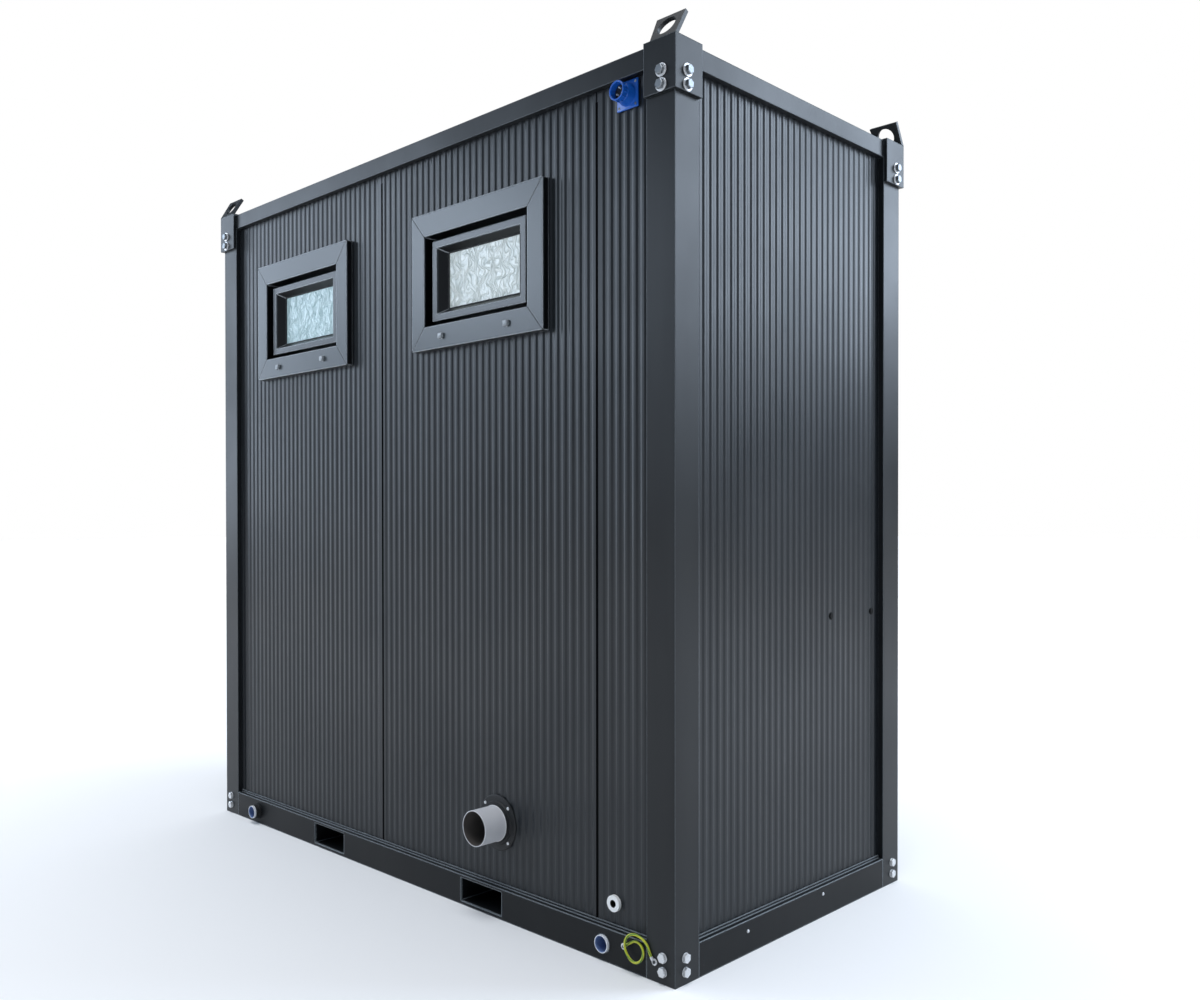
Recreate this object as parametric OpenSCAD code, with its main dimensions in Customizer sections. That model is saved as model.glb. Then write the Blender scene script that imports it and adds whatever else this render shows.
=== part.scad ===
// Toilet container with two cubicles, in millimetres.
// The origin is the centre of the base on the ground. +X runs along the long side, the windows and the
// service connections are on the -Y side, the doors are on the +Y side, and +Z is up.

/* [Steel frame] */
// Outer length of the frame
box_l = 2480; // [2440:10:2700]
// Outer width of the frame
box_w = 1180; // [1160:10:1400]
// Height of the top of the roof rails above the ground
box_h = 2500; // [2480:10:2700]
// Width of each leg of a corner post
post_leg = 100; // [94:1:108]
// Thickness of the rolled steel of posts and rails
steel_t = 4; // [3:0.5:5]
// Depth of the wall faces behind the frame faces
recess = 20; // [16:1:22]
// Height of the base rails
base_h = 96; // [96:1:110]
// Height of the stop lip on the base rails
base_lip = 10; // [6:1:10]
// Width of the bottom flange of the base rails
base_flange = 60; // [50:1:68]
// Height of the roof rails
ring_h = 56; // [54:1:70]
// Width of the lower flange of the roof rails
ring_flange = 110; // [90:1:140]
// Width of the top flange of the roof rails
ring_top = 60; // [40:1:80]
// Thickness of the plates that join rails and posts
tongue_t = 8; // [6:1:9]

/* [Corner brackets and lifting lugs] */
// Thickness of the corner brackets
cap_t = 12; // [8:1:14]
// Height of the corner brackets on the posts
cap_h = 137; // [130:1:180]
// Thickness of the top plate of a corner bracket
cap_top = 6; // [4:1:8]
// Width of a lifting lug
lug_w = 100; // [90:1:110]
// Length of a lifting lug along its slope
lug_len = 84; // [80:1:100]
// Thickness of a lifting lug
lug_t = 12; // [10:1:14]
// Lean of the lifting lugs towards the middle, in degrees
lug_lean = 30; // [20:1:35]
// Radius of the eye in a lifting lug
eye_r = 30; // [24:1:31]
// Height of the eye along the slope of the lug
eye_at = 43; // [41:1:46]

/* [Frame bolts] */
// Size across the flats of the bolt heads
bolt_af = 24; // [20:1:26]
// Height of the bolt heads
bolt_head = 10; // [8:1:12]
// Radius of the bolt shanks
bolt_r = 8; // [6:0.5:9]
// Radius of the washers under the upper bolts
washer_r = 18; // [16:0.5:18.4]
// Thickness of the washers
washer_t = 3; // [2:0.5:4]
// Distance of the upper bolts from the corner
top_bolt_in = 37; // [34:1:60]
// Depth of the first upper bolt below the roof rail's top
top_bolt_drop = 81; // [76:1:84]
// Distance between the two bolts of a pair
bolt_step = 38; // [37:1:46]
// Distance of the lower bolts from the corner
base_bolt_in = 42; // [38:1:60]
// Height of the lower one of the base bolts
base_bolt_z = 34; // [28:1:38]

/* [Walls, floor and roof] */
// Thickness of the wall panels
wall_t = 50; // [46:1:60]
// Pitch of the small ribs of the wall panels
rib_pitch = 31.25; // [25:0.25:40]
// Depth of the ribs
rib_depth = 2.5; // [1:0.1:4]
// Width of the sloping flank of a rib
rib_flank = 7.5; // [5:0.5:8]
// Width of the left panel, up to the joint in front of the partition
left_panel_w = 1102; // [1080:1:1160]
// Distance of the joint of the narrow panel from the end of the frame
joint_in = 305; // [280:1:340]
// Gap between neighbouring panels
joint_gap = 5; // [2:0.5:6]
// Thickness of the partition between the cubicles
partition_t = 40; // [30:1:50]
// Thickness of the floor board
board_t = 15; // [12:1:21]
// Thickness of the floor covering
cover_t = 3; // [2:0.5:4]
// Thickness of the ceiling panel
ceiling_t = 24; // [18:1:30]
// Thickness of the roof panel under its ribs
roof_t = 36; // [24:1:40]
// Pitch of the ribs of the roof panel
roof_pitch = 140; // [100:5:200]

/* [Fork pockets] */
// Width of a fork pocket
pocket_w = 200; // [160:1:220]
// Height of a fork pocket
pocket_h = 74; // [60:1:74]
// Height of the pocket floor above the ground
pocket_z = 12; // [9:1:13]
// Distance of the pocket centres from the middle
pocket_x = 441; // [420:1:460]
// Wall thickness of the fork tunnels
tunnel_t = 4; // [3:0.5:4.5]

/* [Windows] */
// Outer width of a window frame
win_w = 645; // [600:5:700]
// Outer height of a window frame
win_h = 451; // [440:1:480]
// Depth of the window centres below the top of the roof rails
win_drop = 478; // [440:1:600]
// Distance of the centre of the left window from the end of its panel
win_left_in = 592; // [560:1:620]
// Distance of the centre of the right window from the middle of its panel
win_right_off = 5.5; // [-20:0.5:20]
// Width of the side bars of the window frame
win_side = 68; // [60:1:72]
// Height of the top and bottom bars of the window frame
win_bar = 76; // [70:1:80]
// Distance that the window frame stands proud of the wall
win_proud = 25; // [15:1:30]
// Width of the mitre joints on the frame face
mitre = 1.5; // [1:0.5:2]
// Gap beside the sash in the frame opening
sash_gap_side = 25; // [18:1:30]
// Gap above and below the sash in the frame opening
sash_gap_top = 18; // [12:1:22]
// Distance of the sash face behind the frame face
sash_set = 16; // [10:1:20]
// Width of the flat front bars of a sash
sash_bar = 22; // [18:1:26]
// Width of the sloping bead at the sides of the glass
bead_side = 32; // [20:1:36]
// Height of the sloping bead above and below the glass
bead_top = 18; // [12:1:22]
// Distance of the glass behind the sash face
glass_set = 29; // [20:1:32]
// Thickness of the sealed glass unit
glass_t = 20; // [16:1:24]
// Distance that the glass unit reaches under the beads
glass_edge = 10; // [8:1:14]
// Width of the sash lip that overlaps the frame inside
sash_lip = 15; // [10:1:20]
// Thickness of the sash lip
lip_t = 11; // [8:1:14]

/* [Doors] */
// Width of a door leaf
leaf_w = 700; // [650:5:740]
// Height of a door leaf
leaf_h = 1990; // [1900:5:2050]
// Thickness of a door leaf
leaf_t = 44; // [40:1:46]
// Gap round a door leaf
door_gap = 4; // [3:0.5:5]
// Width of the bars of a door frame
jamb_w = 40; // [36:1:50]
// Distance that the door frame stands proud of the wall
jamb_proud = 14; // [10:1:14]
// Width of the stop that the leaf closes against
stop_w = 15; // [10:1:18]
// Height of the threshold
threshold_h = 10; // [8:1:12]
// Width of the wall strip between the two door frames
door_strip = 80; // [70:1:100]
// Radius of the hinge barrels
hinge_r = 9; // [8:0.5:10]
// Height of one hinge knuckle
knuckle_h = 50; // [40:1:60]
// Height of the lever above the bottom of the leaf
lever_z = 1050; // [1000:5:1100]
// Distance of the lever axis from the free edge of the leaf
backset = 55; // [50:1:60]
// Length of the lever grip
grip_l = 115; // [100:1:130]
// Radius of the lever grip
grip_r = 8; // [7:0.5:8.5]
// Distance of the turn knob below the lever
turn_drop = 78; // [70:1:90]
// Travel of the lock bolt
bolt_travel = 16; // [12:1:17]

/* [Service connections] */
// Outer radius of the soil pipe
soil_r = 55; // [50:0.5:57]
// Wall thickness of the soil pipe
soil_wall = 3.2; // [2.5:0.1:5]
// Distance of the soil pipe from the middle of the right cubicle, to the left
soil_off = 34; // [16:1:56]
// Height of the soil pipe
soil_z = 291; // [280:1:300]
// Distance that the soil pipe stands out of the wall
soil_out = 96; // [60:1:150]
// Thickness of the sealing wrap round the soil pipe in the wall
wrap_t = 1.5; // [1:0.5:2]
// Fall of the soil pipe towards its outlet, per mille
soil_fall = 10; // [0:1:15]
// Radius of the rubber collar of the soil pipe
collar_r = 87; // [85:1:95]
// Radius of the circle of the collar screws
collar_screw_r = 76; // [72:1:78]
// Outer radius of the basin waste pipes
waste_r = 25; // [20:0.5:26]
// Wall thickness of the basin waste pipes
waste_wall = 3; // [2:0.5:4]
// Height of the basin waste pipes in the base
waste_z = 49; // [46:1:54]
// Distance that the right waste pipe stands out of the rail
waste_out = 8; // [2:1:12]
// Distance that the sleeved left waste pipe stands out of the rail
sleeve_out = 28; // [20:1:40]
// Thickness of the rubber sleeve round the left waste pipe
sleeve_t = 3; // [2:0.5:4]
// Size of the square plate of the power inlet
inlet_plate = 78; // [70:1:80]
// Distance of the power inlet from the end of the frame
inlet_in = 183; // [170:1:200]
// Depth of the power inlet below the top of the roof rails
inlet_drop = 99; // [98:1:120]
// Distance that the power inlet stands out of the wall
inlet_out = 50; // [40:1:60]
// Outer radius of the mouth of the power inlet
inlet_r = 24.5; // [22:0.5:26]
// Wall thickness of the mouth of the power inlet
inlet_wall = 2.5; // [2:0.5:3]
// Distance between the screws of the power inlet
inlet_screws = 61; // [56:1:62]
// Outer radius of the water inlet
water_r = 23; // [18:0.5:26]
// Radius of the threaded hole of the water inlet
water_bore_r = 10; // [8:0.5:12]
// Distance of the water inlet from the end of the frame
water_in = 235; // [210:1:260]
// Height of the water inlet
water_z = 165; // [140:1:180]
// Distance that the water inlet stands out of the wall
water_out = 10; // [5:1:15]
// Radius of the water pipes inside
pipe_r = 8; // [7:0.5:10]

/* [Earth cable] */
// Radius of the earth cable
cable_r = 3.5; // [2.5:0.5:4]
// Radius of the inner loop of the cable
loop_r = 27; // [24:1:29]
// Radius of the outer turn of the cable
loop_out_r = 48; // [42:1:50]
// Radius of the ring of a cable lug
lug_ring_r = 9; // [8:0.5:10]
// Radius of the earth studs
stud_r = 4; // [3:0.5:4]

/* [Toilets] */
// Height of the toilet rim above the floor
rim_h = 400; // [380:5:440]
// Distance of the front of the toilet from the wall
pan_len = 615; // [600:5:650]
// Half the width of the toilet rim
rim_r = 180; // [170:1:190]
// Distance of the foot of the toilet from the wall
pan_gap = 120; // [118:1:140]
// Half the width of the foot of the toilet
foot_r = 105; // [90:1:120]
// Radius of the bowl at its rim
bowl_r = 132; // [120:1:135]
// Depth of the bowl
bowl_depth = 230; // [215:5:250]
// Width of the cistern
cistern_w = 370; // [340:5:400]
// Depth of the cistern
cistern_d = 147; // [130:1:150]
// Height of the cistern with its cover
cistern_h = 370; // [340:5:400]
// Distance of the seat hinge from the wall
seat_hinge = 194; // [192:1:205]
// Thickness of the toilet seat
seat_t = 19.7; // [18:0.1:20]
// Thickness of the toilet lid
lid_t = 15; // [12:0.5:16]
// Radius of the seat hinge pin
seat_pin_r = 5; // [4:0.5:6]
// Radius of the flush button
flush_r = 19.5; // [15:0.5:22]

/* [Washbasins] */
// Width of a washbasin
basin_w = 390; // [360:5:394]
// Distance of the front of a washbasin from the wall
basin_d = 330; // [310:5:340]
// Height of the basin rim above the floor
basin_h = 850; // [800:5:900]
// Thickness of the basin rim
basin_rim = 20; // [16:1:30]
// Distance of the washbasins' centres from the inner face of the door wall
basin_side = 198; // [197:1:215]
// Distance of the bowl centre from the wall
basin_bowl_in = 195; // [190:1:200]
// Radius of the basin bowl
basin_bowl_r = 112; // [100:1:115]
// Depth of the basin bowl
basin_bowl_depth = 105; // [90:1:115]
// Thickness of the basin's bowl
basin_wall = 14; // [10:1:18]
// Distance between the basin bolts in the end wall
basin_bolts = 246; // [200:1:280]
// Radius of the tap body
tap_r = 20; // [16:1:24]
// Height of the tap body
tap_h = 95; // [80:1:110]
// Radius of the push knob of the tap
knob_r = 19; // [15:1:23]

/* [Electrics] */
// Radius of the ceiling lights
light_r = 140; // [110:5:160]
// Height of the ceiling lights
light_h = 60; // [40:1:80]
// Width of the fuse box
fuse_w = 200; // [160:5:220]
// Height of the fuse box
fuse_h = 260; // [200:5:300]
// Depth of the fuse box
fuse_d = 95; // [80:1:110]
// Depth of the top of the fuse box below the top of the roof rails
fuse_drop = 270; // [200:5:340]

/* [Hidden] */
$fn = 48;

// Clearance between pieces that are fitted together
fit = 0.3;
// Running clearance round pieces that turn or slide
run = 0.5;
// Overlap of a cutting shape past the face that it cuts
cut = 1;

// Colours
c_frame = "#33383d";
c_panel = "#3c4349";
c_zinc = "#c9ced2";
c_white = "#eceeee";
c_pipe = "#b9bcc4";
c_black = "#1b1d1f";
c_blue = "#1f66b8";
c_earth = "#b9c832";
c_glass = "#cfe0da";
c_steel = "#8f969b";
c_floor = "#6d7478";

// Places that follow from the sizes above
wall_in = recess + wall_t;
panel_z = base_h + fit;
panel_top = box_h - ring_h - fit;
floor_z = base_h - steel_t;
floor_top = floor_z + board_t + cover_t;
ceiling_z = panel_top - ceiling_t;
rail_l = box_l - 2 * post_leg;
rail_w = box_w - 2 * post_leg;
room_l = box_l - 2 * wall_in;
room_w = box_w - 2 * wall_in;
tongue_in = 20;
tongue_z = 8;
tongue_end = steel_t + tongue_t + 2;
joint_left = -box_l / 2 + recess + left_panel_w;
joint_right = box_l / 2 - joint_in;
win_x = [
    -box_l / 2 + recess + win_left_in,
    (joint_left + joint_right) / 2 + win_right_off
];
win_z = box_h - win_drop;
win_open_w = win_w - 2 * win_side;
win_open_h = win_h - 2 * win_bar;
win_sleeve = 10;
frame_back = wall_t - 3;
sash_w = win_open_w - 2 * sash_gap_side;
sash_h = win_open_h - 2 * sash_gap_top;
sash_face = sash_set - win_proud;
lip_w = win_open_w + 2 * sash_lip;
lip_h = win_open_h + 2 * sash_lip;
lip_face = frame_back + fit;
sash_pin_r = 2.5;
sash_pin_y = lip_face + lip_t + 5.5;
sash_pin_z = -lip_h / 2 - 6;
glass_w = sash_w - 2 * sash_bar - 2 * bead_side;
glass_h = sash_h - 2 * sash_bar - 2 * bead_top;
frame_w = leaf_w + 2 * door_gap + 2 * jamb_w;
leaf_z = base_h + threshold_h + door_gap;
door_top = leaf_z + leaf_h + door_gap + jamb_w;
door_off = (door_strip + frame_w) / 2;
door_x = [joint_left - door_off, joint_left + door_off];
jamb_face = jamb_proud - recess;
leaf_face = jamb_face - 3;
leaf_back = leaf_face - leaf_t;
hinge_x = -leaf_w / 2 - door_gap / 2;
hinge_y = jamb_face + hinge_r + 1;
hinge_gap = 0.6;
hinge_spots = [200, 1000, 1800];
plate_w = 40;
plate_h = 230;
plate_t = 4;
lever_x = leaf_w / 2 - backset;
hub_r = grip_r + 1;
grip_out = 46;
turn_r = 3.5;
lock_t = 8;
lock_h = 20;
lock_l = 45;
soil_y = soil_r + 10;
run_r = soil_r - 10;
cubicle_x = [
    (joint_left - partition_t / 2 - room_l / 2) / 2,
    (joint_left + partition_t / 2 + room_l / 2) / 2
];
soil_x = cubicle_x[1] - soil_off;
wc_x = [cubicle_x[0], soil_x];
soil_grip_r = soil_r + wrap_t;
collar_lip = 14;
inlet_x = box_l / 2 - inlet_in;
inlet_z = box_h - inlet_drop;
water_x = box_l / 2 - water_in;
fuse_z = box_h - fuse_drop - fuse_h;
basin_in_x = box_l / 2 - wall_in;
waste_x = basin_in_x - basin_bowl_in;
riser_r = waste_r - 4;
basin_bolt_z = basin_h - basin_rim - bolt_r - 2;
basin_y = box_w / 2 - wall_in - basin_side;
member_w = 60;
member_t = 3;
member_x = concat([0], [for (s = [-1, 1])
    for (x = [
        pocket_x - pocket_w / 2 - tunnel_t - member_w,
        pocket_x + pocket_w / 2 + tunnel_t + member_w,
        waste_x - waste_r - member_w,
        waste_x + waste_r + member_w
    ])
        s * x]);
screw_r = 5;
screw_h = 3;
end_screw_at = [[-269, 65], [122, 72]];
pin_r = 2.4;
collar_screw = 2.5;
inlet_screw = 2.3;
screw_in = 8;

// Helpers for places and profiles
module at_corner(sx, sy) {
    translate([sx * box_l / 2, sy * box_w / 2, 0])
        mirror([sx > 0 ? 1 : 0, 0, 0])
            mirror([0, sy > 0 ? 1 : 0, 0])
                children();
}

module each_corner() {
    for (sx = [-1, 1])
        for (sy = [-1, 1])
            at_corner(sx, sy) children();
}

module on_side(sy) {
    translate([0, sy * box_w / 2, 0])
        mirror([0, sy > 0 ? 1 : 0, 0])
            children();
}

module on_end(sx) {
    translate([sx * box_l / 2, 0, 0])
        rotate([0, 0, sx * 90])
            children();
}

module bar(len, outline) {
    rotate([90, 0, 90])
        linear_extrude(height = len, center = true)
            polygon(outline);
}

module block(x, y, z) {
    translate([x[0], y[0], z[0]])
        cube([x[1] - x[0], y[1] - y[0], z[1] - z[0]]);
}

module frame_box(w, h, y) {
    block([-w / 2, w / 2], y, [-h / 2, h / 2]);
}

module peg(r, y, x = 0, z = 0) {
    translate([x, y[0], z])
        rotate([-90, 0, 0])
            cylinder(r = r, h = y[1] - y[0]);
}

module pin_x(r, x, y = 0, z = 0) {
    translate([x[0], y, z])
        rotate([0, 90, 0])
            cylinder(r = r, h = x[1] - x[0]);
}

module rounded(w, h, r) {
    square([w - 2 * r, h], center = true);
    square([w, h - 2 * r], center = true);
    for (x = [-1, 1])
        for (y = [-1, 1])
            translate([x * (w / 2 - r), y * (h / 2 - r)])
                circle(r = r);
}

// A straight back and a round front, from y = 0 to y = len
module u_outline(half, len) {
    intersection() {
        union() {
            translate([-half, 0])
                square([2 * half, len - half]);
            translate([0, len - half])
                circle(r = half);
        }
        translate([-half, 0])
            square([2 * half, len]);
    }
}

// Holes and shanks of the frame bolts, in the frame of one corner
bolt_spots = [
    [top_bolt_in, box_h - top_bolt_drop],
    [top_bolt_in, box_h - top_bolt_drop - bolt_step],
    [base_bolt_in, base_bolt_z],
    [base_bolt_in, base_bolt_z + bolt_step]
];

module bolt_bores(depth) {
    for (p = bolt_spots) {
        peg(bolt_r + fit, [-cap_t - cut, depth], p[0], p[1]);
        pin_x(bolt_r + fit, [-cap_t - cut, depth], p[0], p[1]);
    }
}

module bolt(head_at) {
    hex_r = bolt_af / 2 / cos(30);
    peg(bolt_r, [head_at, steel_t + tongue_t]);
    translate([0, head_at - bolt_head, 0])
        rotate([-90, 0, 0])
            cylinder(r = hex_r, h = bolt_head, $fn = 6);
}

module upper_bolt() {
    bolt(-cap_t - washer_t);
    peg(washer_r, [-cap_t - washer_t, -cap_t]);
}

// Base frame
function base_outline() = [
    [0, 0], [base_flange, 0], [base_flange, steel_t], [steel_t, steel_t],
    [steel_t, base_h - steel_t], [wall_in, base_h - steel_t], [wall_in, base_h],
    [recess, base_h], [recess, base_h + base_lip], [recess - 3, base_h + base_lip],
    [recess - 3, base_h], [0, base_h]
];

module tongues(len, start, z) {
    for (s = [0, 1])
        mirror([s, 0, 0])
            block([len / 2 + start, len / 2 + post_leg - tongue_end],
                [steel_t, steel_t + tongue_t], z);
}

module base_rail(len) {
    bar(len, base_outline());
    tongues(len, -tongue_in, [tongue_z, base_h - tongue_z]);
}

module pocket_cuts() {
    for (s = [-1, 1])
        translate([s * pocket_x, 0, 0])
            block([-pocket_w / 2, pocket_w / 2], [-cut, steel_t + cut],
                [pocket_z, pocket_z + pocket_h]);
}

module base_rail_service() {
    color(c_frame) {
        difference() {
            on_side(-1) base_rail(rail_l);
            each_corner() bolt_bores(steel_t + tongue_t + cut);
            on_side(-1) pocket_cuts();
            on_side(-1) peg(waste_r + fit, [-cut, steel_t + cut], waste_x, waste_z);
            on_side(-1) peg(waste_r + sleeve_t + fit, [-cut, steel_t + cut], -waste_x, waste_z);
        }
        on_side(-1) peg(stud_r, [-6, 0], lug_a[0], lug_a[1]);
    }
}

module base_rail_door() {
    color(c_frame)
        difference() {
            on_side(1) base_rail(rail_l);
            each_corner() bolt_bores(steel_t + tongue_t + cut);
            on_side(1) pocket_cuts();
            for (x = door_x)
                on_side(1)
                    block([x - frame_w / 2 - fit, x + frame_w / 2 + fit], [0, recess + cut],
                        [base_h, base_h + base_lip + cut]);
        }
}

module base_rails_end() {
    color(c_frame)
        difference() {
            for (s = [-1, 1])
                on_end(s) base_rail(rail_w);
            each_corner() bolt_bores(steel_t + tongue_t + cut);
        }
}

module fork_tunnels() {
    color(c_frame)
        for (s = [-1, 1])
            translate([s * pocket_x, 0, 0])
                difference() {
                    block([-pocket_w / 2 - tunnel_t, pocket_w / 2 + tunnel_t],
                        [-box_w / 2 + steel_t, box_w / 2 - steel_t],
                        [pocket_z - tunnel_t, pocket_z + pocket_h + tunnel_t]);
                    block([-pocket_w / 2, pocket_w / 2], [-box_w / 2, box_w / 2],
                        [pocket_z, pocket_z + pocket_h]);
                }
}

function member_outline() = [
    [-member_w / 2, 0], [member_w / 2, 0], [member_w / 2, member_t],
    [-member_w / 2 + member_t, member_t], [-member_w / 2 + member_t, floor_z - member_t],
    [member_w / 2, floor_z - member_t], [member_w / 2, floor_z], [-member_w / 2, floor_z]
];

module floor_cross_members() {
    color(c_frame)
        for (x = member_x)
            translate([x, 0, 0])
                difference() {
                    rotate([90, 0, 0])
                        linear_extrude(height = box_w - 2 * steel_t, center = true)
                            polygon(member_outline());
                    for (s = [-1, 1])
                        on_side(s) {
                            block([-member_w, member_w], [0, base_flange + fit],
                                [-cut, steel_t + fit]);
                            block([-member_w, member_w], [0, wall_in + fit],
                                [floor_z - fit, floor_z + cut]);
                        }
                }
}

module floor_holes() {
    for (s = [-1, 1])
        translate([s * waste_x, basin_y, 0])
            cylinder(r = riser_r + fit, h = 2 * base_h);
}

module floor_board() {
    color(c_steel)
        difference() {
            block([-room_l / 2 + fit, room_l / 2 - fit], [-room_w / 2 + fit, room_w / 2 - fit],
                [floor_z, floor_z + board_t]);
            floor_holes();
        }
}

module floor_covering() {
    half = partition_t / 2 + fit;
    color(c_floor)
        difference() {
            union() {
                block([-room_l / 2 + fit, joint_left - half], [-room_w / 2 + fit, room_w / 2 - fit],
                    [floor_z + board_t, floor_top]);
                block([joint_left + half, room_l / 2 - fit], [-room_w / 2 + fit, room_w / 2 - fit],
                    [floor_z + board_t, floor_top]);
            }
            floor_holes();
        }
}

// Posts and roof frame
function post_outline() = [
    [0, 0], [post_leg, 0], [post_leg, recess - fit], [post_leg - steel_t, recess - fit],
    [post_leg - steel_t, steel_t], [steel_t, steel_t], [steel_t, post_leg - steel_t],
    [recess - fit, post_leg - steel_t], [recess - fit, post_leg], [0, post_leg]
];

module corner_posts() {
    color(c_frame) {
        each_corner()
            difference() {
                linear_extrude(height = box_h) polygon(post_outline());
                bolt_bores(steel_t + cut);
                for (turn = [0, 1])
                    mirror([turn, -turn, 0])
                        for (z = [[-cut, base_h], [box_h - ring_h, box_h + cut]])
                            block([post_leg - 2 * steel_t, post_leg + cut], [steel_t, recess], z);
            }
        on_side(-1) peg(stud_r, [-6, 0], lug_b[0], lug_b[1]);
    }
}

function ring_outline() = [
    [0, box_h - ring_h], [ring_flange, box_h - ring_h], [ring_flange, box_h - ring_h + steel_t],
    [steel_t, box_h - ring_h + steel_t], [steel_t, box_h - steel_t], [ring_top, box_h - steel_t],
    [ring_top, box_h], [0, box_h]
];

// The plates at the ends of the rails reach down behind the posts and take the upper bolts
module roof_rail(len) {
    bar(len, ring_outline());
    tongues(len, -tongue_in, [box_h - ring_h + fit, box_h - tongue_z]);
    tongues(len, steel_t + fit, [box_h - cap_h, box_h - ring_h + steel_t]);
}

module roof_rails() {
    color(c_frame)
        difference() {
            union() {
                for (s = [-1, 1]) {
                    on_side(s) roof_rail(rail_l);
                    on_end(s) {
                        difference() {
                            roof_rail(rail_w);
                            for (t = [-1, 1])
                                block([t * box_w / 2 - ring_flange - fit, t * box_w / 2 + ring_flange + fit],
                                    [post_leg - fit, ring_flange + cut], [box_h - ring_h - cut, box_h]);
                        }
                    }
                }
            }
            each_corner() bolt_bores(steel_t + tongue_t + cut);
        }
}

module corner_brackets() {
    color(c_frame)
        each_corner()
            difference() {
                block([-cap_t, post_leg], [-cap_t, post_leg], [box_h - cap_h, box_h + cap_top]);
                block([0, post_leg + cut], [0, post_leg + cut], [box_h - cap_h - cut, box_h]);
                bolt_bores(cut);
            }
}

// The inner edge of a lug is flared by this much
lug_flare = 11;

module lifting_lug() {
    reach = lug_t + 2;
    difference() {
        translate([-cap_t, -cap_t, box_h + cap_top])
            rotate([90 - lug_lean, 0, 0])
                translate([0, 0, -lug_t])
                    difference() {
                        linear_extrude(height = lug_t)
                            polygon([[0, -reach], [lug_w - lug_flare, -reach],
                                [lug_w - lug_flare, 0], [lug_w, lug_len], [0, lug_len]]);
                        translate([lug_w / 2, eye_at, -cut])
                            cylinder(r = eye_r, h = lug_t + 2 * cut);
                    }
        block([-2 * cap_t, lug_w + cap_t], [-2 * cap_t, 2 * post_leg],
            [box_h - reach - lug_t, box_h + cap_top]);
    }
}

module lifting_lugs() {
    color(c_frame)
        each_corner() lifting_lug();
}

module end_screws() {
    for (p = end_screw_at)
        pin_x(screw_r, [box_l / 2, box_l / 2 + screw_h], p[0], p[1]);
}

// Bolts that carry the washbasins, with a head outside and a nut on the basin's back
module basin_bolt() {
    pin_x(bolt_r, [-screw_h, 0]);
    pin_x(bolt_r / 2, [0, wall_t + 20]);
    pin_x(bolt_r, [wall_t + 20, wall_t + 27]);
}

module frame_bolts() {
    color(c_zinc) {
        each_corner()
            for (turn = [0, 1])
                mirror([turn, -turn, 0])
                    for (p = [0:3])
                        translate([bolt_spots[p][0], 0, bolt_spots[p][1]])
                            if (p < 2) upper_bolt();
                            else bolt(0);
        end_screws();
        basin_bolt_places() basin_bolt();
    }
}

// Roof and ceiling
module roof_panel() {
    w = box_l - 2 * recess - 2 * fit;
    d = box_w - 2 * recess - 2 * fit;
    n = floor((w - 2 * ring_top) / roof_pitch);
    z = box_h - ring_h + steel_t;
    color(c_steel)
        union() {
            block([-w / 2, w / 2], [-d / 2, d / 2], [z, z + roof_t]);
            for (i = [0:n - 1])
                translate([(i - (n - 1) / 2) * roof_pitch, 0, z + roof_t])
                    rotate([90, 0, 0])
                        linear_extrude(height = box_w - 2 * ring_top - 2 * fit, center = true)
                            polygon([[-20, 0], [20, 0], [12, steel_t + 6], [-12, steel_t + 6]]);
        }
}

module ceiling_panel() {
    color(c_white)
        block([-room_l / 2 + fit, room_l / 2 - fit], [-room_w / 2 + fit, room_w / 2 - fit],
            [ceiling_z, panel_top]);
}

// Ribbed wall panels, with the wall face at y = 0 and the inner face at y = wall_t
function rib_points(w) =
    let (n = floor((w - rib_pitch / 2) / rib_pitch),
         edge = (w - n * rib_pitch) / 2,
         crest = rib_pitch / 2 - rib_flank)
    [for (i = [0:n - 1])
        for (p = [[crest / 2, 0], [crest / 2 + rib_flank, rib_depth],
                  [rib_pitch - crest / 2 - rib_flank, rib_depth], [rib_pitch - crest / 2, 0]])
            [edge + i * rib_pitch + p[0], p[1]]];

module panel(x, z) {
    w = x[1] - x[0];
    translate([x[0], recess, z[0]])
        linear_extrude(height = z[1] - z[0])
            polygon(concat([[0, 0]], rib_points(w), [[w, 0], [w, wall_t], [0, wall_t]]));
}

// Tongue that closes the joint to the next panel
module panel_tongue(x) {
    block([x - cut, x + joint_gap - fit], [recess + wall_t / 3, recess + wall_t / 2],
        [panel_z, panel_top]);
}

module window_cut(x) {
    translate([x, recess, win_z])
        frame_box(win_w - 2 * win_sleeve + 2 * fit, win_h - 2 * win_sleeve + 2 * fit,
            [-cut, wall_t + cut]);
}

module wall_panel_service_left() {
    color(c_panel)
        on_side(-1)
            difference() {
                union() {
                    panel([-box_l / 2 + recess, joint_left - joint_gap / 2], [panel_z, panel_top]);
                    panel_tongue(joint_left - joint_gap / 2);
                }
                window_cut(win_x[0]);
            }
}

module wall_panel_service_middle() {
    color(c_panel)
        on_side(-1)
            difference() {
                union() {
                    panel([joint_left + joint_gap / 2, joint_right - joint_gap / 2],
                        [panel_z, panel_top]);
                    panel_tongue(joint_right - joint_gap / 2);
                }
                window_cut(win_x[1]);
                peg(soil_grip_r + fit, [recess - cut, wall_in + cut], soil_x, soil_z);
                translate([soil_x, recess, soil_z])
                    collar_places() peg(collar_screw + fit, [-cut, screw_in + fit]);
            }
}

module wall_panel_service_narrow() {
    color(c_panel)
        on_side(-1)
            difference() {
                panel([joint_right + joint_gap / 2, box_l / 2 - recess], [panel_z, panel_top]);
                peg(inlet_r + 4 + fit, [recess - cut, wall_in + cut], inlet_x, inlet_z);
                translate([inlet_x, recess, inlet_z])
                    inlet_holes(inlet_screw + fit, [-cut, screw_in + fit]);
                peg(water_r - 5 + fit, [recess - cut, wall_in + cut], water_x, water_z);
            }
}

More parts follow.
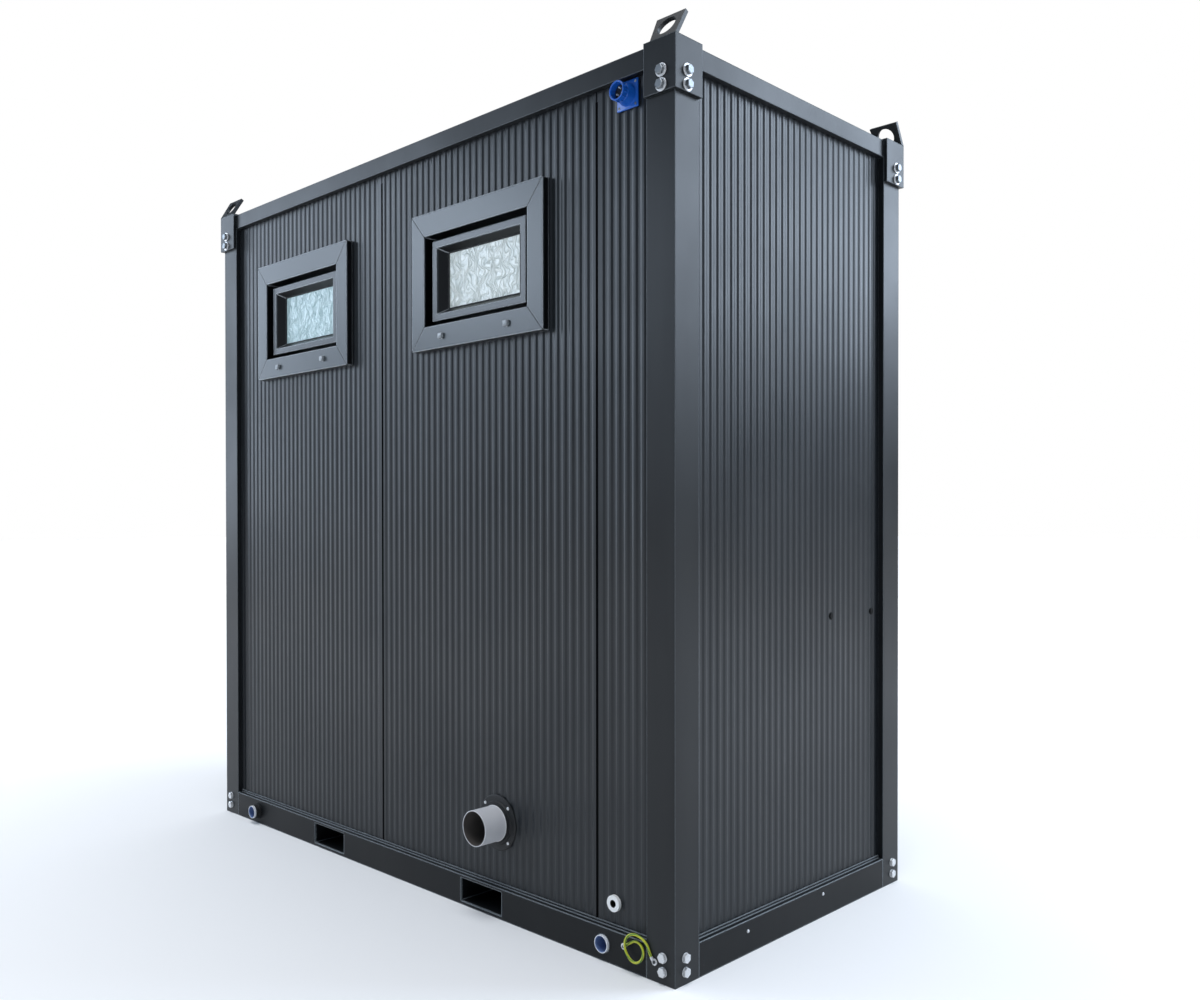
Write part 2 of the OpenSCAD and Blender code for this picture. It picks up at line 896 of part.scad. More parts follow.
module wall_panels_end() {
    half = room_w / 2 - fit;
    color(c_panel)
        difference() {
            for (s = [-1, 1])
                on_end(s) panel([-half, half], [panel_z, panel_top]);
            basin_bolt_places() pin_x(bolt_r / 2 + fit, [-cut, wall_t + cut]);
        }
}

module wall_panels_door_side() {
    left = door_x[0] - frame_w / 2 - fit;
    left_in = door_x[0] + frame_w / 2 + fit;
    right_in = door_x[1] - frame_w / 2 - fit;
    right = door_x[1] + frame_w / 2 + fit;
    head = [door_top + fit, panel_top];
    whole = [panel_z, panel_top];
    color(c_panel)
        on_side(1) {
            panel([-box_l / 2 + recess, left], whole);
            panel([left_in, right_in], whole);
            panel([right, box_l / 2 - recess], whole);
            panel([left + 2 * fit, left_in - 2 * fit], head);
            panel([right_in + 2 * fit, right - 2 * fit], head);
        }
}

module partition_wall() {
    color(c_white)
        difference() {
            block([joint_left - partition_t / 2, joint_left + partition_t / 2],
                [-room_w / 2 + fit, room_w / 2 - fit], [floor_z + board_t, ceiling_z - fit]);
            translate([joint_left, -room_w / 2 + soil_y, soil_height(joint_left)])
                rotate([0, 90, 0])
                    cylinder(r = run_r + 2, h = 2 * partition_t, center = true);
            pin_x(pipe_r + fit, [joint_left - partition_t, joint_left + partition_t],
                -room_w / 2 + pipe_in, pipe_z);
        }
}

// Windows, with the wall face at y = 0
module at_window(i) {
    translate([win_x[i], -box_w / 2 + recess, win_z])
        children();
}

module mitre_cuts() {
    for (sx = [-1, 1])
        for (sz = [-1, 1])
            translate([sx * (win_w - win_side) / 2, -win_proud, sz * (win_h - win_bar) / 2])
                rotate([0, -sx * sz * atan2(win_bar, win_side), 0])
                    cube([2 * win_side, 2 * mitre, mitre], center = true);
}

module weep_caps() {
    for (s = [-1, 1])
        translate([s * win_w / 4, -win_proud, -(win_h - win_bar) / 2])
            intersection() {
                sphere(r = 9, $fn = 24);
                frame_box(20, 20, [-9, 0]);
            }
}

hinge_off = 150;
hinge_at = [-hinge_off, hinge_off];
knuckle_r = 5;
sash_knuckle = 8.5;
frame_knuckle = [sash_knuckle + run, sash_knuckle + run + 12];

module window_frame() {
    difference() {
        union() {
            frame_box(win_w, win_h, [-win_proud, 0]);
            frame_box(win_w - 2 * win_sleeve, win_h - 2 * win_sleeve, [0, frame_back]);
        }
        frame_box(win_open_w, win_open_h, [-win_proud - cut, frame_back + cut]);
        mitre_cuts();
    }
    for (x = hinge_at)
        translate([x, 0, 0]) {
            for (s = [0, 1])
                mirror([s, 0, 0]) {
                    pin_x(knuckle_r, frame_knuckle, sash_pin_y, sash_pin_z);
                    block(frame_knuckle, [frame_back, sash_pin_y],
                        [sash_pin_z - knuckle_r, sash_pin_z - knuckle_r + 3]);
                }
            pin_x(sash_pin_r, [-frame_knuckle[1], frame_knuckle[1]], sash_pin_y, sash_pin_z);
        }
}

module window_frames() {
    color(c_frame)
        for (i = [0, 1])
            at_window(i) {
                window_frame();
                weep_caps();
            }
}

// Slope of the beads from the sash face down to the glass
module bead_cut() {
    w = sash_w - 2 * sash_bar;
    h = sash_h - 2 * sash_bar;
    hull() {
        frame_box(w, h, [sash_face - 0.01, sash_face]);
        frame_box(glass_w, glass_h, [sash_face + glass_set - 0.01, sash_face + glass_set]);
    }
}

module sash(i) {
    color(c_frame)
        at_window(i) {
            difference() {
                union() {
                    frame_box(sash_w, sash_h, [sash_face, lip_face]);
                    frame_box(lip_w, lip_h, [lip_face, lip_face + lip_t]);
                }
                bead_cut();
                frame_box(glass_w + 2 * glass_edge + 2 * fit, glass_h + 2 * glass_edge + 2 * fit,
                    [sash_face + glass_set, sash_face + glass_set + glass_t + fit]);
                frame_box(glass_w, glass_h, [sash_face, lip_face + lip_t + cut]);
            }
            for (x = hinge_at)
                difference() {
                    union() {
                        pin_x(knuckle_r, [x - sash_knuckle, x + sash_knuckle], sash_pin_y, sash_pin_z);
                        block([x - sash_knuckle, x + sash_knuckle],
                            [lip_face + lip_t, lip_face + lip_t + 3],
                            [sash_pin_z, -lip_h / 2 + 14]);
                    }
                    pin_x(sash_pin_r + fit, [x - sash_knuckle - cut, x + sash_knuckle + cut],
                        sash_pin_y, sash_pin_z);
                }
        }
}

module glass(i) {
    color(c_glass)
        at_window(i)
            frame_box(glass_w + 2 * glass_edge, glass_h + 2 * glass_edge,
                [sash_face + glass_set, sash_face + glass_set + glass_t]);
}

// The handle sits on the upper bar of the sash, inside
handle_z = lip_h / 2 - 22;
handle_l = 95;

module sash_handle(i) {
    face = lip_face + lip_t;
    color(c_zinc)
        at_window(i)
            translate([0, 0, handle_z]) {
                peg(13, [face + fit, face + 12]);
                peg(7, [face + 11, face + 38]);
                pin_x(8, [-8, handle_l], face + 38, 0);
            }
}

// Service connections, with the wall face at y = 0
module at_wall(x, z) {
    translate([x, -box_w / 2 + recess, z])
        children();
}

module inlet_holes(r, y) {
    for (sx = [-1, 1])
        for (sz = [-1, 1])
            peg(r, y, sx * inlet_screws / 2, sz * inlet_screws / 2);
}

module inlet_housing() {
    flare = inlet_r + 6;
    color(c_blue)
        at_wall(inlet_x, inlet_z)
            difference() {
                union() {
                    rotate([90, 0, 0])
                        linear_extrude(height = 5) rounded(inlet_plate, inlet_plate, 5);
                    rotate([90, 0, 0])
                        rotate_extrude()
                            polygon([[0, 4], [flare, 4], [inlet_r, inlet_out / 2],
                                [inlet_r, inlet_out], [0, inlet_out]]);
                    peg(inlet_r + 4, [-cut, wall_t - 5]);
                }
                peg(inlet_r - inlet_wall, [-inlet_out - cut, -5]);
                inlet_holes(inlet_screw + fit, [-6, cut]);
            }
}

module inlet_pins() {
    ring = (inlet_r - inlet_wall) / 2;
    color(c_zinc)
        at_wall(inlet_x, inlet_z)
            for (a = [90, 210, 330])
                peg(pin_r, [-inlet_out + 12, -5], ring * cos(a), ring * sin(a));
}

module collar_places() {
    for (a = [45:90:315])
        translate([collar_screw_r * cos(a), 0, collar_screw_r * sin(a)])
            children();
}

module service_screws() {
    color(c_zinc) {
        at_wall(soil_x, soil_z)
            collar_places() {
                peg(screw_r, [-5 - screw_h, -5]);
                peg(collar_screw, [-5, screw_in]);
            }
        at_wall(inlet_x, inlet_z) {
            inlet_holes(4, [-6.5, -5]);
            inlet_holes(inlet_screw, [-5, screw_in]);
        }
    }
}

// Height of the soil pipe's axis at a place along its fall
function soil_height(x) = soil_z + (soil_x - x) * soil_fall / 1000;

// A thinner run along the wall joins the branch of the left toilet to the outlet pipe
module soil_runs(thin, front, socket, back) {
    run_l = soil_x - wc_x[0];
    rise = soil_height(wc_x[0]) - soil_z;
    translate([soil_x, 0, soil_z]) {
        peg(soil_r - thin, [front, back]);
        translate([0, soil_y + wall_t, 0])
            rotate([0, -90 + atan2(rise, run_l), 0])
                cylinder(r = run_r - thin, h = norm([run_l, rise]));
    }
    translate([wc_x[0], 0, soil_height(wc_x[0])])
        peg(soil_r - thin, [socket, back]);
}

module soil_pipe() {
    back = wall_t + pan_gap - fit;
    socket = wall_t + 12;
    color(c_pipe)
        at_wall(0, 0)
            difference() {
                union() {
                    soil_runs(0, -soil_out, socket, back);
                    peg(soil_grip_r, [-collar_lip - 1, wall_t], soil_x, soil_z);
                }
                soil_runs(soil_wall, -soil_out - cut, socket + soil_wall, back + cut);
            }
}

module pipe_collars() {
    color(c_black) {
        at_wall(soil_x, soil_z)
            difference() {
                rotate([90, 0, 0])
                    rotate_extrude()
                        polygon([[soil_grip_r + fit, 0], [collar_r, 0], [collar_r, 3],
                            [collar_r - 3, 5], [soil_grip_r + 12, 5], [soil_grip_r + 10, 9],
                            [soil_grip_r + 4, 9], [soil_grip_r + 3, collar_lip],
                            [soil_grip_r + fit, collar_lip]]);
                collar_places() peg(collar_screw + fit, [-6, cut]);
            }
        on_side(-1)
            translate([-waste_x, 0, waste_z])
                difference() {
                    union() {
                        peg(waste_r + sleeve_t, [-sleeve_out + 8, 30]);
                        peg(waste_r + sleeve_t + 3, [-6, -fit]);
                    }
                    peg(waste_r + fit / 3, [-sleeve_out - cut, 30 + cut]);
                }
    }
}

module water_inlet() {
    color(c_white)
        at_wall(water_x, water_z)
            difference() {
                union() {
                    peg(water_r, [-water_out, 0]);
                    peg(water_r - 5, [-cut, wall_t]);
                }
                peg(water_bore_r, [-water_out - cut, 26]);
            }
}

// Water pipes along the walls, straight lengths between square fittings, from the inlet to
// cisterns and taps
fitting_r = 11;
pipe_in = fitting_r + fit;
pipe_z = 440;

module pipe_run(a, b, start = fitting_r + fit, end = fitting_r + fit) {
    d = b - a;
    len = norm(d);
    translate(a + d / len * start)
        rotate([0, acos(d[2] / len), atan2(d[1], d[0])])
            cylinder(r = pipe_r, h = len - start - end);
}

module fittings(points) {
    for (p = points)
        translate(p) cube(2 * fitting_r, center = true);
}

module water_pipes() {
    y = -room_w / 2 + pipe_in;
    x = room_l / 2 - pipe_in;
    tap_y = basin_y - 60;
    foot_z = floor_top + basin_h - basin_back - fit;
    valve_z = floor_top + rim_h + 120;
    valve_y = -room_w / 2 + 3 + cistern_d / 2;
    side = [for (c = wc_x) c + cistern_w / 2 + fit + fitting_r];
    stops = [-x, side[0], side[1], water_x, x];
    color(c_steel) {
        fittings([for (t = stops) [t, y, pipe_z]]);
        for (i = [0:3])
            pipe_run([stops[i], y, pipe_z], [stops[i + 1], y, pipe_z]);
        fittings([[water_x, y, water_z]]);
        pipe_run([water_x, y, water_z], [water_x, y, pipe_z]);
        for (s = [-1, 1]) {
            fittings([[s * x, tap_y, pipe_z]]);
            pipe_run([s * x, y, pipe_z], [s * x, tap_y, pipe_z]);
            pipe_run([s * x, tap_y, pipe_z], [s * x, tap_y, foot_z], end = 0);
        }
        for (i = [0, 1]) {
            fittings([[side[i], y, valve_z], [side[i], valve_y, valve_z]]);
            pipe_run([side[i], y, pipe_z], [side[i], y, valve_z]);
            pipe_run([side[i], y, valve_z], [side[i], valve_y, valve_z]);
            pin_x(pipe_r - 2, [wc_x[i] + cistern_w / 2 - 3 + fit, side[i] - fitting_r],
                valve_y, valve_z);
        }
    }
}

module waste_line(s, out) {
    top = floor_top + basin_h - basin_bowl_depth - basin_wall - fit;
    difference() {
        union() {
            translate([s * waste_x, basin_y, waste_z]) cylinder(r = riser_r, h = top - waste_z);
            translate([s * waste_x, -box_w / 2, waste_z]) peg(waste_r, [-out, box_w / 2 + basin_y + waste_r]);
        }
        translate([s * waste_x, basin_y, waste_z])
            cylinder(r = riser_r - waste_wall, h = top - waste_z + cut);
        translate([s * waste_x, -box_w / 2, waste_z])
            peg(waste_r - waste_wall, [-out - cut, box_w / 2 + basin_y + waste_r - waste_wall]);
    }
}

module waste_pipes() {
    color(c_pipe) {
        waste_line(-1, sleeve_out);
        waste_line(1, waste_out);
    }
}

// Earth cable between the studs on the rail and on the post.
// Its points are [x, distance in front of the frame face, z].
lug_a = [box_l / 2 - 183, 64];
lug_b = [box_l / 2 - 71, 53];
aim_a = 33;
aim_b = 125;
lug_reach = 15;
cable_near = cable_r + 1.5;
cable_far = cable_near + 2 * cable_r + 1.5;
start_turn = 90 + aim_a;
lead_a = 42;
turned = start_turn - 20 + 360;
rings = ceil(turned / 15);
loop_c = [
    lug_a[0] + lead_a * cos(aim_a) - loop_r * cos(start_turn),
    lug_a[1] + lead_a * sin(aim_a) - loop_r * sin(start_turn)
];

function ramp(x) = x < 0 ? 0 : x > 1 ? 1 : x * x * (3 - 2 * x);
function loop_radius(t) = loop_r + (loop_out_r - loop_r) * ramp((t - 250) / 145);
function loop_depth(t) =
    cable_near + (cable_far - cable_near) * (ramp((t - 60) / 160) - ramp((t - 360) / 100));
function loop_point(t) = [
    loop_c[0] + loop_radius(t) * cos(start_turn - t),
    -box_w / 2 - loop_depth(t),
    loop_c[1] + loop_radius(t) * sin(start_turn - t)
];
function lug_point(p, aim, d) = [p[0] + d * cos(aim), -box_w / 2 - cable_near, p[1] + d * sin(aim)];

cable_points = concat(
    [lug_point(lug_a, aim_a, lug_reach), lug_point(lug_a, aim_a, lug_reach + 2 * cable_r)],
    [for (i = [0:rings]) loop_point(turned * i / rings)],
    [lug_point(lug_b, aim_b, lug_reach + 2 * cable_r), lug_point(lug_b, aim_b, lug_reach)]
);

function unit(v) = v / norm(v);
function tangent(p, i) =
    i == 0 ? unit(p[1] - p[0])
    : i == len(p) - 1 ? unit(p[i] - p[i - 1])
    : unit(unit(p[i] - p[i - 1]) + unit(p[i + 1] - p[i]));

module tube(p, r, sides) {
    n = len(p);
    points = [for (i = [0:n - 1])
        let (t = tangent(p, i), a = unit(cross(t, [0, 1, 0])), b = cross(t, a))
        for (k = [0:sides - 1])
            p[i] + r * (cos(k * 360 / sides) * a + sin(k * 360 / sides) * b)];
    walls = [for (i = [0:n - 2])
        for (k = [0:sides - 1])
            let (a = i * sides + k, b = i * sides + (k + 1) % sides)
            for (f = [[a, b, b + sides], [a, b + sides, a + sides]])
                f];
    ends = [for (k = [1:sides - 2])
        for (f = [[0, k + 1, k], [(n - 1) * sides, (n - 1) * sides + k, (n - 1) * sides + k + 1]])
            f];
    polyhedron(points = points, faces = concat(walls, ends), convexity = 6);
}

cable_gap = min([for (i = [0:len(cable_points) - 1])
    for (j = [0:len(cable_points) - 1])
        if (j > i + 8) norm(cable_points[i] - cable_points[j]) - 2 * cable_r]);
echo(least_gap_of_the_earth_cable_to_itself_mm = cable_gap);

module earth_cable() {
    color(c_earth)
        tube(cable_points, cable_r, 6);
}

module cable_lug(p, aim) {
    translate([p[0], -box_w / 2, p[1]])
        rotate([0, -aim, 0]) {
            difference() {
                union() {
                    peg(lug_ring_r, [-2.5 - fit, -fit]);
                    block([0, lug_reach - 6], [-2.5 - fit, -fit], [-4, 4]);
                }
                peg(stud_r + fit, [-4, cut]);
            }
            pin_x(cable_r + 1, [lug_reach - 9, lug_reach], -cable_near, 0);
        }
}

module earth_lugs() {
    color(c_zinc) {
        cable_lug(lug_a, aim_a);
        cable_lug(lug_b, aim_b);
    }
}

// Doors. In the door's own frame x = 0 is the middle of the leaf, the hinges are at -x,
// y = 0 is the frame face with +y pointing out, and z is the height above the ground.
module at_door(i) {
    translate([door_x[i], box_w / 2, 0])
        mirror([i, 0, 0])
            children();
}

module door_frame() {
    open_w = leaf_w + 2 * door_gap;
    open_top = leaf_z + leaf_h + door_gap;
    difference() {
        block([-frame_w / 2, frame_w / 2], [-wall_in, jamb_face], [panel_z, door_top]);
        block([-open_w / 2, open_w / 2], [leaf_back - 1, cut], [panel_z + threshold_h - fit, open_top]);
        block([-open_w / 2 + stop_w, open_w / 2 - stop_w], [-wall_in - cut, cut],
            [panel_z + threshold_h - fit, open_top - stop_w]);
        block([leaf_w / 2, leaf_w / 2 + door_gap + bolt_travel],
            [lock_y - lock_t / 2 - 2, lock_y + lock_t / 2 + 2],
            [turn_z - lock_h / 2 - 2, turn_z + lock_h / 2 + 2]);
    }
    for (z = hinge_spots)
        translate([hinge_x, hinge_y, leaf_z + z]) {
            translate([0, 0, -knuckle_h]) cylinder(r = hinge_r, h = knuckle_h);
            translate([0, 0, -cut]) cylinder(r = hinge_r - 4, h = knuckle_h - 5);
            block([-jamb_w + 6, 0], [jamb_face - hinge_y, jamb_face - hinge_y + 3], [-knuckle_h, 0]);
        }
}

module door_frames() {
    color(c_frame)
        for (i = [0, 1])
            at_door(i) door_frame();
}

turn_z = leaf_z + lever_z - turn_drop;
lock_y = (leaf_face + leaf_back) / 2;

module lever_plate(y) {
    translate([lever_x, y, leaf_z + lever_z - 60])
        rotate([-90, 0, 0])
            linear_extrude(height = plate_t) rounded(plate_w, plate_h, 8);
}

module door_leaf(i) {
    color(c_panel)
        at_door(i) {
            difference() {
                union() {
                    block([-leaf_w / 2, leaf_w / 2], [leaf_back, leaf_face],
                        [leaf_z, leaf_z + leaf_h]);
                    lever_plate(leaf_face);
                    lever_plate(leaf_back - plate_t);
                }
                peg(hub_r + run, [leaf_back - 10, cut], lever_x, leaf_z + lever_z);
                peg(turn_r + run, [leaf_back - 10, cut], lever_x, turn_z);
                block([leaf_w / 2 - lock_l - 3, leaf_w / 2 + cut],
                    [lock_y - lock_t / 2 - run, lock_y + lock_t / 2 + run],
                    [turn_z - lock_h / 2 - run, turn_z + lock_h / 2 + run]);
            }
            for (z = hinge_spots)
                translate([hinge_x, hinge_y, leaf_z + z + hinge_gap])
                    difference() {
                        union() {
                            cylinder(r = hinge_r, h = knuckle_h);
                            block([0, jamb_w], [leaf_face - hinge_y, leaf_face - hinge_y + 4],
                                [0, knuckle_h]);
                        }
                        translate([0, 0, -cut]) cylinder(r = hinge_r - 4 + run, h = knuckle_h - 3);
                    }
        }
}

module door_lever(i) {
    out = leaf_face + plate_t;
    in = leaf_back - plate_t;
    color(c_zinc)
        at_door(i)
            translate([lever_x, 0, leaf_z + lever_z]) {
                peg(hub_r, [in - grip_out - hub_r, out + grip_out + hub_r]);
                for (y = [in - grip_out, out + grip_out]) {
                    pin_x(grip_r, [-grip_l, 0], y, 0);
                    pin_x(grip_r - 2, [-grip_l - 2, 0], y, 0);
                }
            }
}

module thumb_turn(i) {
    out = leaf_face + plate_t;
    in = leaf_back - plate_t;
    color(c_zinc)
        at_door(i)
            translate([lever_x, 0, turn_z]) {
                peg(turn_r, [in - 10, out + 4]);
                peg(12, [in - 10, in - fit]);
                block([-4, 4], [in - 24, in - 9], [-16, 16]);
                difference() {
                    peg(12, [out + fit, out + 4]);
                    block([-1, 1], [out + 2.5, out + 5], [-8, 8]);
                }
            }
}

module lock_bolt(i) {
    color(c_steel)
        at_door(i)
            block([leaf_w / 2 - lock_l - run, leaf_w / 2 - run],
                [lock_y - lock_t / 2, lock_y + lock_t / 2],
                [turn_z - lock_h / 2, turn_z + lock_h / 2]);
}

// Toilets, with y = 0 on the inner face of the service wall and z = 0 on the floor
module at_wc(i) {
    translate([wc_x[i], -room_w / 2, floor_top])
        children();
}

bowl_y = pan_len - rim_r;
deck_y = [12, seat_hinge + 46];
pan_pin_z = rim_h + 10;
ear_half = 7;
lid_ear = 68;
pan_ear = 95;
seat_ear = 117;
ear_r = 9.5;

function bowl_profile(r, depth, top) = concat(
    [for (a = [0:10:80]) [r * sin(a), top - depth * cos(a)]],
    [[r, top], [r, top + cut], [0, top + cut]]
);

module pan(outlet_z) {
    difference() {
        union() {
            hull() {
                translate([0, pan_gap, 0])
                    linear_extrude(height = 40) u_outline(foot_r, pan_len - pan_gap - 110);
                translate([0, pan_gap, rim_h - 60])
                    linear_extrude(height = 20) u_outline(rim_r - 12, pan_len - pan_gap - 12);
            }
            translate([0, pan_gap, rim_h - 40])
                linear_extrude(height = 40) u_outline(rim_r, pan_len - pan_gap);
            block([-rim_r, rim_r], deck_y, [rim_h - 40, rim_h]);
        }
        translate([0, bowl_y, 0])
            rotate_extrude() polygon(bowl_profile(bowl_r, bowl_depth, rim_h));
        peg(soil_r - soil_wall, [pan_gap - cut, pan_gap + 60], 0, outlet_z);
        peg(soil_r - 15, [pan_gap, bowl_y - 40], 0, outlet_z);
    }
    for (s = [-1, 1])
        block([s * pan_ear - 10, s * pan_ear + 10], [seat_hinge - 7, seat_hinge + 7],
            [rim_h, pan_pin_z]);
    pin_x(seat_pin_r, [-seat_ear - ear_half - 2, seat_ear + ear_half + 2], seat_hinge, pan_pin_z);
}

module toilet_pans() {
    color(c_white)
        for (i = [0, 1])
            at_wc(i) pan(soil_height(wc_x[i]) - floor_top);
}

cover_h = 20;

module cisterns() {
    color(c_white)
        for (i = [0, 1])
            at_wc(i)
                translate([0, 3 + cistern_d / 2, rim_h])
                    difference() {
                        union() {
                            linear_extrude(height = cistern_h - cover_h)
                                rounded(cistern_w - 6, cistern_d - 6, 25);
                            translate([0, 0, cistern_h - cover_h])
                                linear_extrude(height = cover_h)
                                    rounded(cistern_w, cistern_d, 28);
                        }
                        translate([0, 0, cistern_h - 14])
                            cylinder(r = flush_r + run, h = 14 + cut);
                    }
}

module flush_button(i) {
    color(c_zinc)
        at_wc(i)
            translate([0, 3 + cistern_d / 2, rim_h + cistern_h - 6])
                cylinder(r = flush_r, h = 9);
}

seat_back = 14;
seat_hole_r = 118;
seat_hole_l = 58;
seat_hole_y = bowl_y - seat_hinge - seat_back - 46;
lid_back = 6;

// The lids stand open, leaning back by this angle from the closed position
lid_open = 92;

module seat_hinge_ear(x, reach) {
    difference() {
        union() {
            pin_x(ear_r, x, 0, 0);
            block(x, reach, [-7, ear_r]);
        }
        pin_x(seat_pin_r + fit, [x[0] - cut, x[1] + cut], 0, 0);
    }
}

module toilet_seat(i) {
    len = pan_len - seat_hinge - seat_back + 4;
    color(c_white)
        at_wc(i) {
            translate([0, seat_hinge + seat_back, rim_h + fit])
                linear_extrude(height = seat_t)
                    difference() {
                        u_outline(rim_r + 2, len);
                        translate([0, seat_hole_y + seat_hole_l]) circle(r = seat_hole_r);
                        translate([0, seat_hole_y]) circle(r = seat_hole_r);
                        translate([-seat_hole_r, seat_hole_y])
                            square([2 * seat_hole_r, seat_hole_l]);
                    }
            translate([0, seat_hinge, pan_pin_z])
                for (s = [-1, 1])
                    seat_hinge_ear([s * seat_ear - ear_half, s * seat_ear + ear_half],
                        [0, seat_back + 3]);
        }
}

module toilet_lid(i) {
    len = pan_len - seat_hinge + lid_back + 4;
    z = rim_h + fit + seat_t + fit;
    color(c_white)
        at_wc(i) {
            translate([0, seat_hinge, pan_pin_z])
                rotate([lid_open, 0, 0]) {
                    translate([0, -lid_back, z - pan_pin_z])
                        linear_extrude(height = lid_t) u_outline(rim_r + 2, len);
                    for (x = [-lid_ear, lid_ear])
                        translate([x, 0, 0])
                            difference() {
                                union() {
                                    pin_x(ear_r, [-ear_half, ear_half], 0, 0);
                                    block([-ear_half, ear_half], [-lid_back, ear_r],
                                        [0, z - pan_pin_z + 2]);
                                }
                                pin_x(seat_pin_r + fit, [-ear_half - cut, ear_half + cut], 0, 0);
                            }
                }
        }
}

// Washbasins, with y = 0 on the inner face of an end wall and z = 0 on the floor
module at_basin(s) {
    translate([s * basin_in_x, basin_y, floor_top])
        rotate([0, 0, s * 90])
            children();
}

// With x = 0 on the outer face of the end wall, pointing in
module basin_bolt_places() {
    for (s = [0, 1])
        mirror([s, 0, 0])
            for (t = [-1, 1])
                translate([-box_l / 2 + recess, basin_y + t * basin_bolts / 2,
                    floor_top + basin_bolt_z])
                    children();
}

tap_in = 40;
basin_back = 110;

module washbasins() {
    color(c_white)
        for (s = [-1, 1])
            at_basin(s)
                difference() {
                    union() {
                        translate([0, fit, basin_h - basin_rim])
                            linear_extrude(height = basin_rim)
                                u_outline(basin_w / 2, basin_d - fit);
                        block([-basin_w / 2 + 20, basin_w / 2 - 20], [fit, 20],
                            [basin_h - basin_back, basin_h - cut]);
                        translate([0, basin_bowl_in, 0])
                            rotate_extrude()
                                polygon(concat(
                                    [for (a = [0:10:80]) [(basin_bowl_r + basin_wall) * sin(a),
                                        basin_h - (basin_bowl_depth + basin_wall) * cos(a)]],
                                    [[basin_bowl_r + basin_wall, basin_h - 1], [0, basin_h - 1]]));
                    }
                    translate([0, basin_bowl_in, 0])
                        rotate_extrude()
                            polygon(bowl_profile(basin_bowl_r, basin_bowl_depth, basin_h));
                    translate([0, basin_bowl_in, 0])
                        cylinder(r = riser_r - waste_wall, h = basin_h);
                    for (t = [-1, 1])
                        peg(bolt_r / 2 + fit, [-cut, 21], t * basin_bolts / 2, basin_bolt_z);
                }
}

module taps() {
    color(c_zinc)
        for (s = [-1, 1])
            at_basin(s)
                translate([0, tap_in, basin_h])
                    difference() {
                        union() {
                            cylinder(r = tap_r, h = tap_h);
                            translate([0, 0, tap_h - 25]) peg(9, [0, 110]);
                            translate([0, 110, tap_h - 45]) cylinder(r = 7, h = 20);
                        }
                        translate([0, 0, tap_h - 30]) cylinder(r = 6 + fit, h = 30 + cut);
                    }
}

module tap_button(s) {
    color(c_zinc)
        at_basin(s)
            translate([0, tap_in, basin_h + tap_h]) {
                translate([0, 0, 9]) cylinder(r = knob_r, h = 16);
                translate([0, 0, -20]) cylinder(r = 6, h = 30);
            }
}

// Lights and fuse box
module ceiling_lights() {
    color(c_white)
        for (x = cubicle_x)
            translate([x, 0, ceiling_z])
                mirror([0, 0, 1])
                    rotate_extrude()
                        polygon([[0, 0], [light_r, 0], [light_r, light_h / 3],
                            [light_r - 8, light_h / 2], [light_r * 0.75, light_h * 0.85],
                            [light_r * 0.4, light_h], [0, light_h]]);
}

module consumer_unit() {
    color(c_white)
        translate([inlet_x - 10, -room_w / 2, fuse_z + fuse_h / 2])
            rotate([-90, 0, 0]) {
                linear_extrude(height = fuse_d * 0.7) rounded(fuse_w, fuse_h, 8);
                translate([0, 0, fuse_d * 0.7])
                    linear_extrude(height = fuse_d * 0.3) rounded(fuse_w - 16, fuse_h - 16, 6);
            }
}

base_rail_service();
base_rail_door();
base_rails_end();
fork_tunnels();
floor_cross_members();
floor_board();
floor_covering();
corner_posts();
roof_rails();
corner_brackets();
lifting_lugs();
frame_bolts();
roof_panel();
ceiling_panel();
wall_panel_service_left();
wall_panel_service_middle();
wall_panel_service_narrow();
wall_panels_end();
wall_panels_door_side();
partition_wall();
window_frames();
sash(0);  // sash_left
sash(1);  // sash_right
glass(0);  // glass_left
glass(1);  // glass_right
sash_handle(0);  // sash_handle_left
sash_handle(1);  // sash_handle_right
inlet_housing();
inlet_pins();
service_screws();
soil_pipe();
pipe_collars();
water_inlet();
water_pipes();
waste_pipes();
earth_cable();
earth_lugs();
door_frames();
door_leaf(0);  // door_leaf_left
door_leaf(1);  // door_leaf_right
door_lever(0);  // door_lever_left
door_lever(1);  // door_lever_right
thumb_turn(0);  // thumb_turn_left
thumb_turn(1);  // thumb_turn_right
lock_bolt(0);  // lock_bolt_left
lock_bolt(1);  // lock_bolt_right
toilet_pans();
cisterns();
flush_button(0);  // flush_button_left
flush_button(1);  // flush_button_right
toilet_seat(0);  // toilet_seat_left
toilet_seat(1);  // toilet_seat_right
toilet_lid(0);  // toilet_lid_left
toilet_lid(1);  // toilet_lid_right
washbasins();
taps();
tap_button(-1);  // tap_button_left
tap_button(1);  // tap_button_right
ceiling_lights();
consumer_unit();
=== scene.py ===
# %% [markdown]
# # A toilet container
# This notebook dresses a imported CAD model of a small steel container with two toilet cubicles.
# The model brings the true sizes. Here it gets its paint, plastics, glass and ceramics, and the
# small things that a shape alone doesn't tell: seals, screws, threads and a striped earth cable.
# Every length is in metres and every object sits at the origin, with its place in its mesh.

# %% Load the model
import math
import bmesh
import bpy
from mathutils import Matrix, Vector


